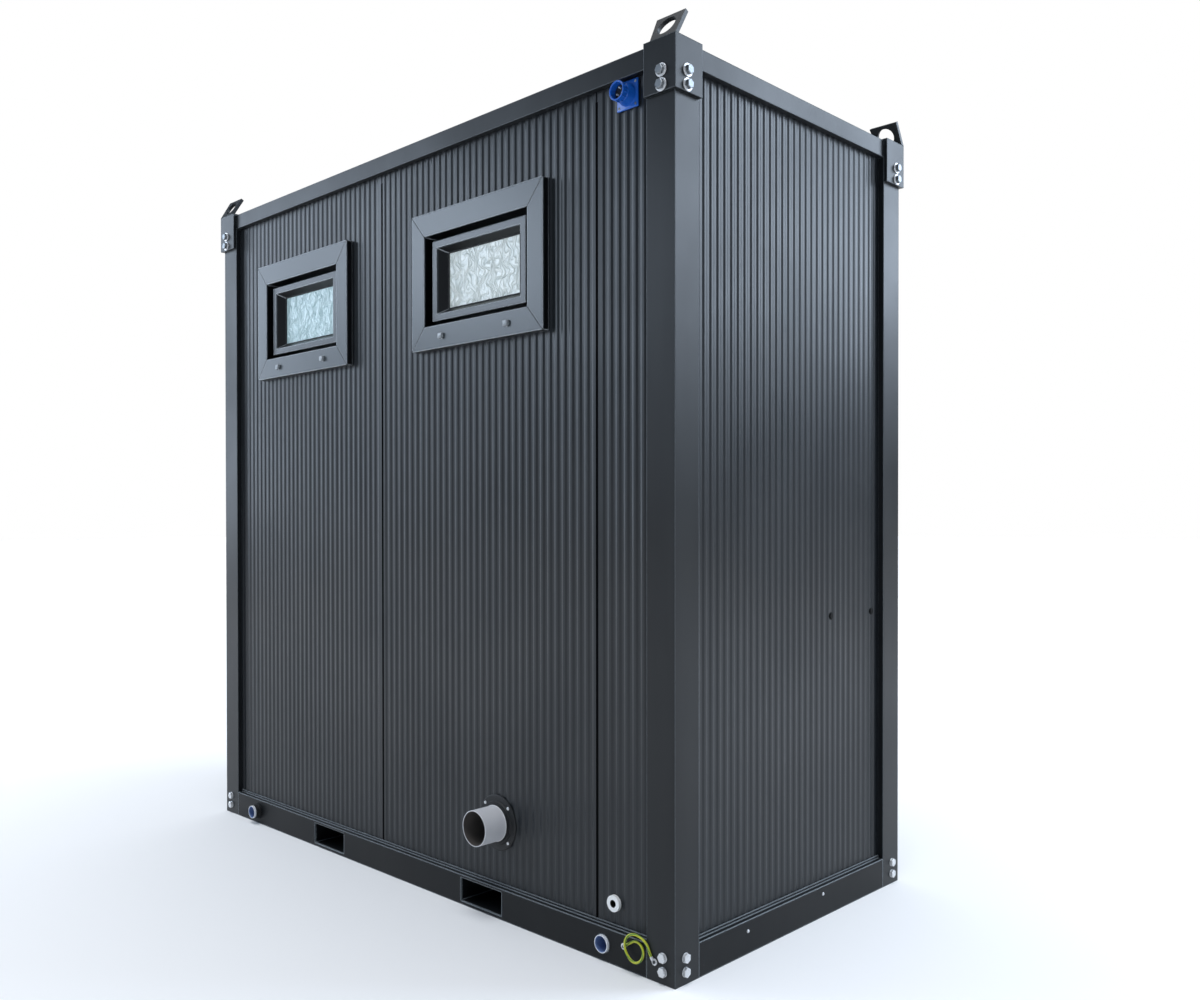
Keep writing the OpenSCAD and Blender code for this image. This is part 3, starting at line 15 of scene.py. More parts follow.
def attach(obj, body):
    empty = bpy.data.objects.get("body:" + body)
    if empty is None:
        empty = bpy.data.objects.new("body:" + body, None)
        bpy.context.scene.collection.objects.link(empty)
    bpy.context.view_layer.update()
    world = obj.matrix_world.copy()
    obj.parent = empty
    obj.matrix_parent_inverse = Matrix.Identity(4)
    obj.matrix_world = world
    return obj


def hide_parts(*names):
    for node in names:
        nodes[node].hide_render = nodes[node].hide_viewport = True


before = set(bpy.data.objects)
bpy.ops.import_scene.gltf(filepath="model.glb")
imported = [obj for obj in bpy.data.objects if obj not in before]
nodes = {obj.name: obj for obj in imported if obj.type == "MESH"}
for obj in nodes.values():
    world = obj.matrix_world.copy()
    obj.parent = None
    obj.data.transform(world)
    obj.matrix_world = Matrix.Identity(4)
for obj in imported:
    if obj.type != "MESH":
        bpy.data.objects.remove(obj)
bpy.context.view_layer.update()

# %% [markdown]
# ## Camera
# The view was fitted to the straight edges of the box. Its horizon lies a little under the middle
# of the picture, and a small lens shift keeps the vertical edges upright, as in the photograph.

# %% Camera
PHOTO_W, PHOTO_H, SENSOR_MM = 1200, 1000, 36
FOCAL_PX, MIDDLE_Y_PX = 1069.1, 525.9
eye = Vector((3.0491, -2.7395, 1.2439))
yaw, pitch, roll = (math.radians(a) for a in (44.101, -0.475, -0.047))

ahead = Vector((-math.sin(yaw) * math.cos(pitch), math.cos(yaw) * math.cos(pitch),
                math.sin(pitch)))
level = Vector((math.cos(yaw), math.sin(yaw), 0))
upward = level.cross(ahead)
side = level * math.cos(roll) + upward * math.sin(roll)
top = upward * math.cos(roll) - level * math.sin(roll)

camera = bpy.data.objects.new("photo_camera", bpy.data.cameras.new("photo_camera"))
bpy.context.scene.collection.objects.link(camera)
camera.data.sensor_width = SENSOR_MM
camera.data.lens = FOCAL_PX / PHOTO_W * SENSOR_MM
camera.data.shift_y = (MIDDLE_Y_PX - PHOTO_H / 2) / PHOTO_W
camera.data.clip_end = 100
camera.matrix_world = Matrix.Translation(eye) @ Matrix((side, top, -ahead)).transposed().to_4x4()
bpy.context.scene.camera = camera
print("lens:", round(camera.data.lens, 3), "mm, shift:", round(camera.data.shift_y, 4))

# %% [markdown]
# ## Small helpers
# A web colour is a display value, and a shader works with linear light, so one function turns one
# into the other. A second adds a node with its settings and links, whatever the node's kind is.
# They keep every material below as short as its recipe.

# %% Colours and nodes
def paint(hex_colour):
    """The linear colour, with its alpha, of an sRGB colour such as #191d21."""
    values = [int(hex_colour[i:i + 2], 16) / 255 for i in (1, 3, 5)]
    return [v / 12.92 if v <= 0.04045 else ((v + 0.055) / 1.055) ** 2.4 for v in values] + [1]


def darker(hex_colour, share):
    return [value * share for value in paint(hex_colour)[:3]] + [1]


def add(tree, kind, inputs=None, **settings):
    """Add one node. Each input gets a value, or the output socket that feeds it."""
    made = tree.nodes.new(kind)
    for name, value in settings.items():
        setattr(made, name, value)
    for name, value in (inputs or {}).items():
        if isinstance(value, bpy.types.NodeSocket):
            tree.links.new(value, made.inputs[name])
        else:
            made.inputs[name].default_value = value
    return made


print("anthracite in linear light:", [round(value, 4) for value in paint("#191d21")])

# %% [markdown]
# Each material starts as one shader with a colour and a roughness. A value that is the same all
# over a surface is set on the shader's own socket. The finished material is then put on nodes of
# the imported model, whose meshes stay as they are, or on a new mesh made of points and faces.

# %% Materials and meshes
def new_material(name, colour, rough, **more):
    made = bpy.data.materials.new(name)
    made.use_nodes = True
    made.diffuse_color = paint(colour)
    shader = made.node_tree.nodes["Principled BSDF"]
    shader.inputs["Base Color"].default_value = paint(colour)
    shader.inputs["Roughness"].default_value = rough
    for socket, value in more.items():
        shader.inputs[socket.replace("_", " ")].default_value = value
    return made, made.node_tree, shader


def wear(material, *node_names):
    """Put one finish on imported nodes, in place of the plain colour that they came with."""
    for name in node_names:
        materials = nodes[name].data.materials
        materials.clear()
        materials.append(material)
    print(material.name, "on", ", ".join(node_names))


def mesh_object(name, points, faces, smooth=False):
    data = bpy.data.meshes.new(name)
    data.from_pydata(points, [], faces)
    data.update()
    made = bpy.data.objects.new(name, data)
    bpy.context.scene.collection.objects.link(made)
    if smooth:
        data.shade_smooth()
    return made


# %% [markdown]
# ## The earth cable
# A yellow and green cable, 7 mm thick, joins a stud on the base rail to a stud on the corner post.
# It is too long for the short way and lies in one and a quarter loose turns, held only by its two
# ring lugs. A curve drawn by eye would miss the lugs, so its line follows the same rule as the CAD
# solid: a short straight lead, then a turn whose radius grows from 27 to 48 mm, lifted off the
# steel where it passes over itself.

# %% Sizes of the earth cable
CABLE_R = 0.0035
LUG_A, LUG_B = (1.057, 0.064), (1.169, 0.053)
AIM_A, AIM_B = 33.0, 125.0
LUG_REACH, LEAD = 0.015, 0.042
LOOP_R, LOOP_OUT_R = 0.027, 0.048
FACE_Y = -0.590
NEAR = CABLE_R + 0.0015
FAR = NEAR + 2 * CABLE_R + 0.0015
START = 90 + AIM_A
TURNED = START - 20 + 360
# Where the turn widens, leaves the steel and comes back to it: first degree, and over how many.
WIDENS, LIFTS, LANDS = (250, 145), (60, 160), (360, 100)
print("the cable turns by", TURNED, "degrees")

# %% [markdown]
# The turn is counted in degrees from its start. Smooth ramps widen it and lift it off the steel,
# and a point is placed at least every 15 degrees.

# %% Route of the earth cable
def ramp(x):
    x = min(1, max(0, x))
    return x * x * (3 - 2 * x)


def share_of_turn(t, stretch):
    first, over = stretch
    return ramp((t - first) / over)


def polar(x, z, radius, degrees):
    a = math.radians(degrees)
    return x + radius * math.cos(a), z + radius * math.sin(a)


def loop_point(t, centre):
    radius = LOOP_R + (LOOP_OUT_R - LOOP_R) * share_of_turn(t, WIDENS)
    depth = NEAR + (FAR - NEAR) * (share_of_turn(t, LIFTS) - share_of_turn(t, LANDS))
    x, z = polar(*centre, radius, START - t)
    return Vector((x, FACE_Y - depth, z))


def lug_point(lug, aim, distance):
    x, z = polar(*lug, distance, aim)
    return Vector((x, FACE_Y - NEAR, z))


lead_end = polar(*LUG_A, LEAD, AIM_A)
loop_centre = polar(*lead_end, -LOOP_R, START)
TURN_STEPS = math.ceil(TURNED / 15)
route = [lug_point(LUG_A, AIM_A, LUG_REACH), lug_point(LUG_A, AIM_A, LUG_REACH + 2 * CABLE_R)]
route += [loop_point(TURNED * i / TURN_STEPS, loop_centre) for i in range(TURN_STEPS + 1)]
route += [lug_point(LUG_B, AIM_B, LUG_REACH + 2 * CABLE_R), lug_point(LUG_B, AIM_B, LUG_REACH)]
print("points of the route:", len(route))

# %% [markdown]
# A stiff cable bends evenly, so more points are laid between these, on a curve that passes through
# each of them. The real length of the cable is measured along it.

# %% Smooth line of the earth cable
def smooth_line(points, steps):
    """The same line with more points, passing through each of the given ones."""
    padded = [2 * points[0] - points[1], *points, 2 * points[-1] - points[-2]]
    line = []
    for i in range(1, len(padded) - 2):
        a, b, c, d = padded[i - 1:i + 3]
        for k in range(steps):
            t = k / steps
            line.append(0.5 * (2 * b + (c - a) * t + (2 * a - 5 * b + 4 * c - d) * t * t
                               + (3 * b - a - 3 * c + d) * t ** 3))
    return [*line, points[-1]]


cable_line = smooth_line(route, 4)

# %% [markdown]
# The tube is built by hand so that it carries its own UV map: U runs along the cable in metres
# and V once round it. The yellow and green stripes can then follow the cable through its turns.

# %% Tube with a UV map
def tube(name, line, radius, sides):
    """A closed tube along a line, whose rings turn as little as they can."""
    points, faces, spots = [], [], []
    travelled = 0
    normal = Vector((0, 1, 0))
    for i, p in enumerate(line):
        ahead_dir = (line[min(i + 1, len(line) - 1)] - line[max(i - 1, 0)]).normalized()
        normal = (normal - ahead_dir * normal.dot(ahead_dir)).normalized()
        across = ahead_dir.cross(normal)
        travelled += (p - line[i - 1]).length if i else 0
        for k in range(sides):
            a = 2 * math.pi * k / sides
            points.append(p + radius * (math.cos(a) * normal + math.sin(a) * across))
        spots.append(travelled)
    uvs = []
    for i in range(len(line) - 1):
        for k in range(sides):
            n = (k + 1) % sides
            faces.append((i * sides + k, i * sides + n, (i + 1) * sides + n, (i + 1) * sides + k))
            uvs += [(spots[i], k / sides), (spots[i], (k + 1) / sides),
                    (spots[i + 1], (k + 1) / sides), (spots[i + 1], k / sides)]
    last = (len(line) - 1) * sides
    faces += [tuple(reversed(range(sides))), tuple(range(last, last + sides))]
    uvs += [(0, 0)] * sides + [(travelled, 0)] * sides
    made = mesh_object(name, points, faces, smooth=True)
    layer = made.data.uv_layers.new(name="UVMap")
    for spot, uv in zip(layer.data, uvs):
        spot.uv = uv
    return made


# %% [markdown]
# The cable leaves one lug and ends in the other, so both ends belong to the object.

# %% Earth cable
earth_cable = tube("earth_cable_tube", cable_line, CABLE_R, 16)
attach(earth_cable, "container")
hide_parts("earth_cable")
print("cable tube:", len(earth_cable.data.polygons), "faces")

# %% [markdown]
# ## Bright edges
# A rounded edge mirrors a wide piece of sky, so in the photograph the edges are thin light lines.
# Here that highlight is painted. It could be drawn along each edge. A Bevel node is simpler: it
# gives the normal that a rounded edge would have, and where that leaves the true normal, a lighter
# colour is mixed in as a painted highlight.

# %% Bright edges
EDGE_STARTS, EDGE_FULL = 0.99, 0.86  # cosines of the angle between the two normals


def painted_edge_highlights(tree, edge, tone, bright, most):
    """The tone, with up to this much of a brighter colour along the edges as a painted highlight.
    """
    flat = add(tree, "ShaderNodeNewGeometry").outputs["Normal"]
    agree = add(tree, "ShaderNodeVectorMath", {0: edge.outputs[0], 1: flat},
                operation="DOT_PRODUCT")
    bent = add(tree, "ShaderNodeMapRange", {"Value": agree.outputs["Value"],
                                            "From Min": EDGE_STARTS, "From Max": EDGE_FULL,
                                            "To Max": most})
    return add(tree, "ShaderNodeMix", {"Factor": bent.outputs[0], "A": tone, "B": paint(bright)},
               data_type="RGBA").outputs["Result"]


print("edges begin to show at", round(math.degrees(math.acos(EDGE_STARTS))), "degrees")

# %% [markdown]
# ## Painted steel
# The posts and rails are rolled steel with a sprayed two-part paint, and the walls are sheet that
# was coated as flat coil. Both show a fine orange peel, faint streaks where rain runs down, a
# little dust near the ground and a slightly cloudy gloss, each at its own scale. So one recipe
# with named sizes makes them all. The walls are white on the side of the room, and since a panel
# is one solid, its colour changes with the place inside the walls.

# %% White inner side of a panel
INNER_WHITE = "#e6e8e6"


def white_lining(tree, spot, tone, limits):
    """White where a point lies within both limits, counted from the middle of the container."""
    inner = []
    for axis, limit in zip("XY", limits):
        away = add(tree, "ShaderNodeMath", {0: spot.outputs[axis]}, operation="ABSOLUTE")
        inner.append(add(tree, "ShaderNodeMath", {0: away.outputs[0], 1: limit},
                         operation="LESS_THAN").outputs[0])
    both = add(tree, "ShaderNodeMath", dict(enumerate(inner)), operation="MULTIPLY")
    return add(tree, "ShaderNodeMix", {"Factor": both.outputs[0], "A": tone,
                                       "B": paint(INNER_WHITE)},
               data_type="RGBA").outputs["Result"]


# %% [markdown]
# The recipe mixes the colour with that of dust by two amounts, one that grows towards the ground
# and one that follows streaks. The peel is a bump, laid over the normal that a Bevel node rounds
# at the edges.

# %% Recipe for painted steel
NOISE_LOW, NOISE_HIGH = 0.3, 0.7  # a noise seldom leaves this range
DUST_TOP, DUST_MOST = 0.45, 0.35  # height in metres at which the dust ends, and its share below
CLOUDS, STREAKS = 2.2, 1.6        # cells of 0.45 m, and of 0.6 m that are then stretched
STREAK_STRETCH = (9, 9, 0.8)      # to 70 mm along the wall and 0.8 m from top to bottom
PEEL_DEPTH, PEEL_STRENGTH = 0.0004, 0.12


def dusty_paint(name, colour, dust, rough, peel_mm=2.0, edge_mm=2.0, shine=0.5,
                white_inside=None, edge_highlight=None, streaks=0.12):
    """Paint on steel. white_inside holds two limits in metres, the edge pair a painted highlight.
    """
    made, tree, shader = new_material(name, colour, rough, Specular_IOR_Level=shine)
    place = add(tree, "ShaderNodeTexCoord").outputs["Object"]
    cloud = add(tree, "ShaderNodeTexNoise", {"Vector": place, "Scale": CLOUDS, "Detail": 5,
                                             "Roughness": 0.55})
    streak_place = add(tree, "ShaderNodeMapping", {"Vector": place, "Scale": STREAK_STRETCH})
    streak = add(tree, "ShaderNodeTexNoise", {"Vector": streak_place.outputs[0],
                                              "Scale": STREAKS, "Detail": 4})
    spot = add(tree, "ShaderNodeSeparateXYZ", {"Vector": place})
    low = add(tree, "ShaderNodeMapRange", {"Value": spot.outputs["Z"], "From Min": DUST_TOP,
                                           "From Max": 0.0, "To Min": 0.0, "To Max": DUST_MOST})
    soil = add(tree, "ShaderNodeMath", {0: low.outputs[0], 1: cloud.outputs["Fac"]},
               operation="MULTIPLY")
    shade = add(tree, "ShaderNodeMapRange", {"Value": streak.outputs["Fac"],
                                             "From Min": NOISE_LOW, "From Max": NOISE_HIGH,
                                             "To Min": 0.0, "To Max": streaks})
    amount = add(tree, "ShaderNodeMath", {0: soil.outputs[0], 1: shade.outputs[0]},
                 operation="ADD", use_clamp=True)
    tone = add(tree, "ShaderNodeMix", {"Factor": amount.outputs[0], "A": paint(colour),
                                       "B": paint(dust)}, data_type="RGBA").outputs["Result"]
    if white_inside:
        tone = white_lining(tree, spot, tone, white_inside)
    edge = add(tree, "ShaderNodeBevel", {"Radius": edge_mm / 1000}, samples=4)
    # A lighter colour along the edges, when one is given, is a painted highlight.
    if edge_highlight:
        tone = painted_edge_highlights(tree, edge, tone, *edge_highlight)
    tree.links.new(tone, shader.inputs["Base Color"])
    gloss = add(tree, "ShaderNodeMapRange", {"Value": cloud.outputs["Fac"],
                                             "From Min": NOISE_LOW, "From Max": NOISE_HIGH,
                                             "To Min": rough - 0.05, "To Max": rough + 0.08})
    tree.links.new(gloss.outputs[0], shader.inputs["Roughness"])
    # A Detail of 2 adds two finer octaves, so the finest bumps are a quarter of a cell wide.
    peel = add(tree, "ShaderNodeTexNoise", {"Vector": place, "Scale": 1000 / peel_mm / 4,
                                            "Detail": 2})
    bump = add(tree, "ShaderNodeBump", {"Height": peel.outputs["Fac"], "Strength": PEEL_STRENGTH,
                                        "Distance": PEEL_DEPTH, "Normal": edge.outputs[0]})
    tree.links.new(bump.outputs[0], shader.inputs["Normal"])
    return made


# %% [markdown]
# Rolled edges are round by 2 mm. They are drawn at 4 and 6 mm, as coarse as they need to be to
# show from a few metres away, where the photograph was taken.

# %% Paint of the frame
# Sprayed satin paint: dark, a little cloudy, with thin lines of painted highlight along the edges.
frame_paint = dusty_paint("sprayed_anthracite_frame_paint", "#121518", "#3c4042", 0.36,
                          edge_mm=4.0, shine=0.3, edge_highlight=("#7e878e", 0.6))
wear(frame_paint, "corner_posts", "roof_rails", "corner_brackets", "door_frames")

# Nearly black and matt, so the base reads as a dark band under the walls; its edges get a strong
# painted highlight.
base_paint = dusty_paint("matt_base_rail_paint", "#0b0d0f", "#24282b", 0.44, edge_mm=6.0,
                         shine=0.22, edge_highlight=("#a4adb3", 0.9))
wear(base_paint, "base_rail_service", "base_rail_door", "base_rails_end", "fork_tunnels",
     "floor_cross_members")

# Thick paint on cut plate: nearly as dull as the base rails, with no bright lines on its edges.
lug_paint = dusty_paint("thick_black_lug_paint", "#17191b", "#3b3d3e", 0.42, edge_mm=1.5)
wear(lug_paint, "lifting_lugs")

# %% [markdown]
# The film on coil-coated sheet is smoother and a little lighter than the sprayed frame, and each
# rolled rib bends with a radius of about 3 mm. The limits of the white side lie within the panels'
# thickness. A door leaf is white on its whole inner face, so its limit is one of depth alone.

# %% Coating of the walls
INNER_X, INNER_Y, DOOR_INNER_Y = 1.1795, 0.5295, 0.5375
# Smooth film with an even sheen, which draws each rib as a light and a dark line.
panel_coat = dusty_paint("coil_coated_anthracite_sheet", "#191d21", "#3c4144", 0.34, peel_mm=3.0,
                         edge_mm=3.0, shine=0.37, white_inside=(INNER_X, INNER_Y))
wear(panel_coat, "wall_panel_service_left", "wall_panel_service_middle",
     "wall_panel_service_narrow", "wall_panels_end", "wall_panels_door_side")

# The same film on a door leaf, which hands and cloths keep clean, so it has hardly any streaks.
door_coat = dusty_paint("coil_coated_anthracite_door_leaf", "#191d21", "#3c4144", 0.34,
                        peel_mm=3.0, edge_mm=2.0, shine=0.37, white_inside=(2.0, DOOR_INNER_Y),
                        streaks=0.02)
wear(door_coat, "door_leaf_left", "door_leaf_right")

# %% [markdown]
# ## Zinc, steel, aluminium and chrome
# Bolts, screws and cable lugs are bright zinc, which has small cloudy crystals and slightly uneven
# gloss. The other metals differ from it in colour, in the size of that grain and in how far the
# gloss wanders, so they share its recipe.

# %% Recipe for metal
def metal(name, colour, rough, grain_mm, spread=0.1, metallic=1.0):
    made, tree, shader = new_material(name, colour, rough, Metallic=metallic)
    place = add(tree, "ShaderNodeTexCoord").outputs["Object"]
    grain = add(tree, "ShaderNodeTexNoise", {"Vector": place, "Scale": 1000 / grain_mm,
                                             "Detail": 3})
    tone = add(tree, "ShaderNodeMix", {"Factor": grain.outputs["Fac"], "A": paint(colour),
                                       "B": darker(colour, 0.72)}, data_type="RGBA")
    tree.links.new(tone.outputs["Result"], shader.inputs["Base Color"])
    gloss = add(tree, "ShaderNodeMapRange", {"Value": grain.outputs["Fac"],
                                             "To Min": rough - spread, "To Max": rough + spread})
    tree.links.new(gloss.outputs[0], shader.inputs["Roughness"])
    bump = add(tree, "ShaderNodeBump", {"Height": grain.outputs["Fac"], "Strength": 0.15,
                                        "Distance": 0.0002})
    tree.links.new(bump.outputs[0], shader.inputs["Normal"])
    return made


# %% [markdown]
# The comment over each says what it gives the eye. All but the zinc and the lacquered caps are
# fully metallic, and a metal keeps the shader's own index of refraction.

# %% Metals
# Bright spots on the dark frame. The passivated film is half metal, so it stays light in shade.
zinc = metal("bright_zinc_plating", "#f0f2f4", 0.4, 4, metallic=0.5)
# Soft, even grey gleam without streaks.
satin_aluminium = metal("satin_anodised_aluminium", "#c3c7ca", 0.38, 1.5, 0.06)
# Plain drawn pipe: a grey shine with broader clouds.
pressed_steel = metal("press_fitted_steel_pipe", "#b4b9bd", 0.3, 6)
# A mirror, with hardly any grain.
chrome = metal("chrome_plated_brass", "#e3e6e8", 0.08, 20, 0.03)
# Greyer than the washer under it, so each head stands out from its own ring.
dark_head = metal("dull_zinc_flake_heads", "#8b9094", 0.4, 5)
# Matt black lacquered caps, two small dark spots on the end wall.
black_cap = new_material("black_screw_cap", "#020202", 0.5, Specular_IOR_Level=0.12)[0]

wear(zinc, "earth_lugs", "lock_bolt_left", "lock_bolt_right")
for side_name in ("left", "right"):
    wear(satin_aluminium, *(f"{what}_{side_name}"
                            for what in ("door_lever", "thumb_turn", "sash_handle")))
    wear(chrome, f"flush_button_{side_name}", f"tap_button_{side_name}")
wear(chrome, "taps")
wear(pressed_steel, "water_pipes")

# %% [markdown]
# ## Bolts and screws as an instanced set
# Every corner is held by eight bolts that differ only in place and in washer. They could be copied
# one by one, but a Geometry Nodes tree makes a head with a chamfer and a washer from the sizes
# that a fitter would name. It puts them on each point of a small point mesh, turned along the
# point's own outward direction. Head and washer are each a straight disc with a tapered one on it.

# %% Discs of a bolt
def disc(tree, sides, wide, narrow, height, lift):
    shape = add(tree, "GeometryNodeMeshCone", {"Vertices": sides, "Radius Bottom": wide,
                                               "Radius Top": narrow, "Depth": height})
    up = add(tree, "ShaderNodeCombineXYZ", {"Z": lift})
    return add(tree, "GeometryNodeTransform", {"Geometry": shape.outputs["Mesh"],
                                               "Translation": up.outputs[0]}).outputs[0]


def stacked(tree, material, *discs):
    """Discs as one piece in one material."""
    whole = add(tree, "GeometryNodeJoinGeometry")
    for sizes in discs:
        tree.links.new(disc(tree, *sizes), whole.inputs[0])
    return add(tree, "GeometryNodeSetMaterial", {"Geometry": whole.outputs[0],
                                                 "Material": material}).outputs[0]


# %% [markdown]
# The tree's inputs are the sizes by name, and the shares say how each disc follows from them: a
# head, for one, is straight for four fifths of its height and tapers over the last fifth.

# %% Tree for bolt heads
BOLT_INPUTS = {"Sides": "Int", "Across Corners": "Float", "Head Height": "Float",
               "Washer Diameter": "Float", "Washer Thickness": "Float"}
BOLT_SHARES = (("head radius", "Across Corners", 0.5), ("head top", "head radius", 0.84),
               ("head straight", "Head Height", 0.8), ("head chamfer", "Head Height", 0.2),
               ("washer radius", "Washer Diameter", 0.5), ("washer top", "washer radius", 0.96),
               ("washer straight", "Washer Thickness", 0.75),
               ("washer chamfer", "Washer Thickness", 0.25))
WASHER_SIDES = 40


def bolt_tree(head_material, washer_material):
    tree = bpy.data.node_groups.new("bolt_set", "GeometryNodeTree")
    tree.interface.new_socket("Geometry", in_out="INPUT", socket_type="NodeSocketGeometry")
    for label, kind in BOLT_INPUTS.items():
        tree.interface.new_socket(label, in_out="INPUT", socket_type=f"NodeSocket{kind}")
    tree.interface.new_socket("Geometry", in_out="OUTPUT", socket_type="NodeSocketGeometry")
    given = add(tree, "NodeGroupInput").outputs
    size = {label: given[label] for label in BOLT_INPUTS}
    for label, source, share in BOLT_SHARES:
        size[label] = add(tree, "ShaderNodeMath", {0: size[source], 1: share},
                          operation="MULTIPLY").outputs[0]
    chamfer_z = add(tree, "ShaderNodeMath", {0: size["Washer Thickness"],
                                             1: size["head straight"]}, operation="ADD").outputs[0]
    head = stacked(tree, head_material,
                   (size["Sides"], size["head radius"], size["head radius"],
                    size["head straight"], size["Washer Thickness"]),
                   (size["Sides"], size["head radius"], size["head top"],
                    size["head chamfer"], chamfer_z))
    washer = stacked(tree, washer_material,
                     (WASHER_SIDES, size["washer radius"], size["washer radius"],
                      size["washer straight"], 0.0),
                     (WASHER_SIDES, size["washer radius"], size["washer top"],
                      size["washer chamfer"], size["washer straight"]))
    both = add(tree, "GeometryNodeJoinGeometry")
    tree.links.new(head, both.inputs[0])
    tree.links.new(washer, both.inputs[0])
    outward = add(tree, "GeometryNodeInputNamedAttribute", {"Name": "outward"},
                  data_type="FLOAT_VECTOR")
    turned = add(tree, "FunctionNodeAlignRotationToVector", {"Vector": outward.outputs[0]},
                 axis="Z")
    placed = add(tree, "GeometryNodeInstanceOnPoints",
                 {"Points": given["Geometry"], "Instance": both.outputs[0],
                  "Rotation": turned.outputs[0]})
    real = add(tree, "GeometryNodeRealizeInstances", {"Geometry": placed.outputs[0]})
    tree.links.new(real.outputs[0], add(tree, "NodeGroupOutput").inputs[0])
    return tree


def bolt_sizes(*values):
    """Sides, then metres, under the names of the tree's inputs."""
    return dict(zip(BOLT_INPUTS, values))


# %% [markdown]
# The tree is run once for each kind of bolt and its result is kept as a plain mesh, because a
# modifier's instances would be lost on export. The kinds are then joined into one piece.

# %% Running the tree and joining its results
def instanced(name, places, tree, values):
    """Runs a tree on points with outward directions and keeps the result as a plain mesh."""
    made = mesh_object(name, [p for p, _ in places], [])
    outward = made.data.attributes.new("outward", "FLOAT_VECTOR", "POINT")
    outward.data.foreach_set("vector", [c for _, d in places for c in d])
    modifier = made.modifiers.new("set", "NODES")
    modifier.node_group = tree
    for item in tree.interface.items_tree:
        if item.name in values:
            modifier[item.identifier] = values[item.name]
    seen = made.evaluated_get(bpy.context.evaluated_depsgraph_get())
    result = bpy.data.meshes.new_from_object(seen)
    made.modifiers.clear()
    made.data = result
    print(name, len(places), "places", len(result.polygons), "faces")
    return made


def joined(name, parts_list):
    """One mesh object made of several, with their materials kept."""
    whole, materials = bmesh.new(), []
    for part in parts_list:
        lookup = []
        for material in part.data.materials:
            if material not in materials:
                materials.append(material)
            lookup.append(materials.index(material))
        for face in part.data.polygons:
            face.material_index = lookup[face.material_index]
        whole.from_mesh(part.data)
        bpy.data.objects.remove(part)
    made = mesh_object(name, [], [])
    whole.to_mesh(made.data)
    whole.free()
    for material in materials:
        made.data.materials.append(material)
    return made


# %% [markdown]
# The places follow the frame: two bolts above each other at the top and at the bottom of both
# faces of every corner. The upper ones have 36 mm washers on the corner bracket. The washbasins
# hang on four capped bolts through the end walls, with nuts inside, and two small screws sit on
# the base rail of the visible end.

# %% Bolt places
HALF_L, HALF_W = 1.240, 0.590
CAP_T, TOP_IN, BASE_IN = 0.012, 0.037, 0.042
TOP_Z, BASE_Z = (2.419, 2.381), (0.034, 0.072)
END_SCREWS = ((-0.269, 0.065), (0.122, 0.072))
BASIN_OUT, BASIN_BACK, BASIN_BOLT_Z = 1.220, 1.150, 0.930
basin_places = [(sx, y) for sx in (-1, 1) for y in (0.199, 0.445)]


def corner_places(inset, proud, heights):
    for sx in (-1, 1):
        for sy in (-1, 1):
            for z in heights:
                yield Vector((sx * (HALF_L - inset), sy * (HALF_W + proud), z)), (0, sy, 0)
                yield Vector((sx * (HALF_L + proud), sy * (HALF_W - inset), z)), (sx, 0, 0)


upper_places = list(corner_places(TOP_IN, CAP_T, TOP_Z))
base_places = list(corner_places(BASE_IN, 0, BASE_Z))
print("bolts at the corners:", len(upper_places) + len(base_places))

# %% [markdown]
# Each row below is one kind of bolt: its name, its places with their outward directions, its tree
# and its sizes. The corner bolts are 24 mm across the flats, which is 27.7 mm across the corners.

# %% Bolts of the frame
hex_and_washer = bolt_tree(dark_head, zinc)
bright_hex = bolt_tree(zinc, zinc)
capped_head = bolt_tree(black_cap, black_cap)
bolt_set = joined("frame_bolt_set", [instanced(*row) for row in (
    ("upper_bolts", upper_places, hex_and_washer, bolt_sizes(6, 0.0277, 0.010, 0.036, 0.003)),
    ("base_bolts", base_places, bright_hex, bolt_sizes(6, 0.0277, 0.0085, 0.027, 0.0015)),
    ("end_screw_heads", [(Vector((HALF_L, y, z)), (1, 0, 0)) for y, z in END_SCREWS],
     bright_hex, bolt_sizes(20, 0.0084, 0.0025, 0.010, 0.0005)),
    ("basin_bolt_heads",
     [(Vector((s * BASIN_OUT, y, BASIN_BOLT_Z)), (s, 0, 0)) for s, y in basin_places],
     capped_head, bolt_sizes(24, 0.0185, 0.0022, 0.024, 0.0008)),
    ("basin_nuts",
     [(Vector((s * BASIN_BACK, y, BASIN_BOLT_Z)), (-s, 0, 0)) for s, y in basin_places],
     bright_hex, bolt_sizes(6, 0.015, 0.0055, 0.016, 0.0015)))])
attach(bolt_set, "container")
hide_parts("frame_bolts")

# %% [markdown]
# The same tree with round heads makes the small screws of the rubber collar, on a ring round the
# soil pipe, and those of the power inlet, at the corners of its square plate.

# %% Screws of the service connections
SOIL_X, SOIL_Z, COLLAR_RING = 0.502, 0.291, 0.076
INLET_X, INLET_Z, INLET_PITCH = 1.057, 2.401, 0.061
PLATE_Y = -0.575
collar_ring = [polar(SOIL_X, SOIL_Z, COLLAR_RING, degrees) for degrees in (45, 135, 225, 315)]
inlet_corners = [(INLET_X + sx * INLET_PITCH / 2, INLET_Z + sz * INLET_PITCH / 2)
                 for sx in (-1, 1) for sz in (-1, 1)]
service_set = joined("service_screw_set", [
    instanced("collar_screw_heads", [(Vector((x, PLATE_Y, z)), (0, -1, 0))
                                     for x, z in collar_ring],
              bright_hex, bolt_sizes(20, 0.0094, 0.0024, 0.010, 0.0006)),
    instanced("inlet_screw_heads", [(Vector((x, PLATE_Y, z)), (0, -1, 0))
                                    for x, z in inlet_corners],
              bolt_tree(dark_head, dark_head), bolt_sizes(20, 0.0070, 0.0010, 0.0078, 0.0005))])
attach(service_set, "container")
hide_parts("service_screws")

# %% [markdown]
# ## Moulded plastics
# Injection-moulded and extruded plastics differ mostly in gloss and in how round their edges are.
# A faint grain of about a millimetre keeps them from looking like paint. The reveal of a
# window lies in the shade of its own walls, so a piece may be nearly black over a range of depth.

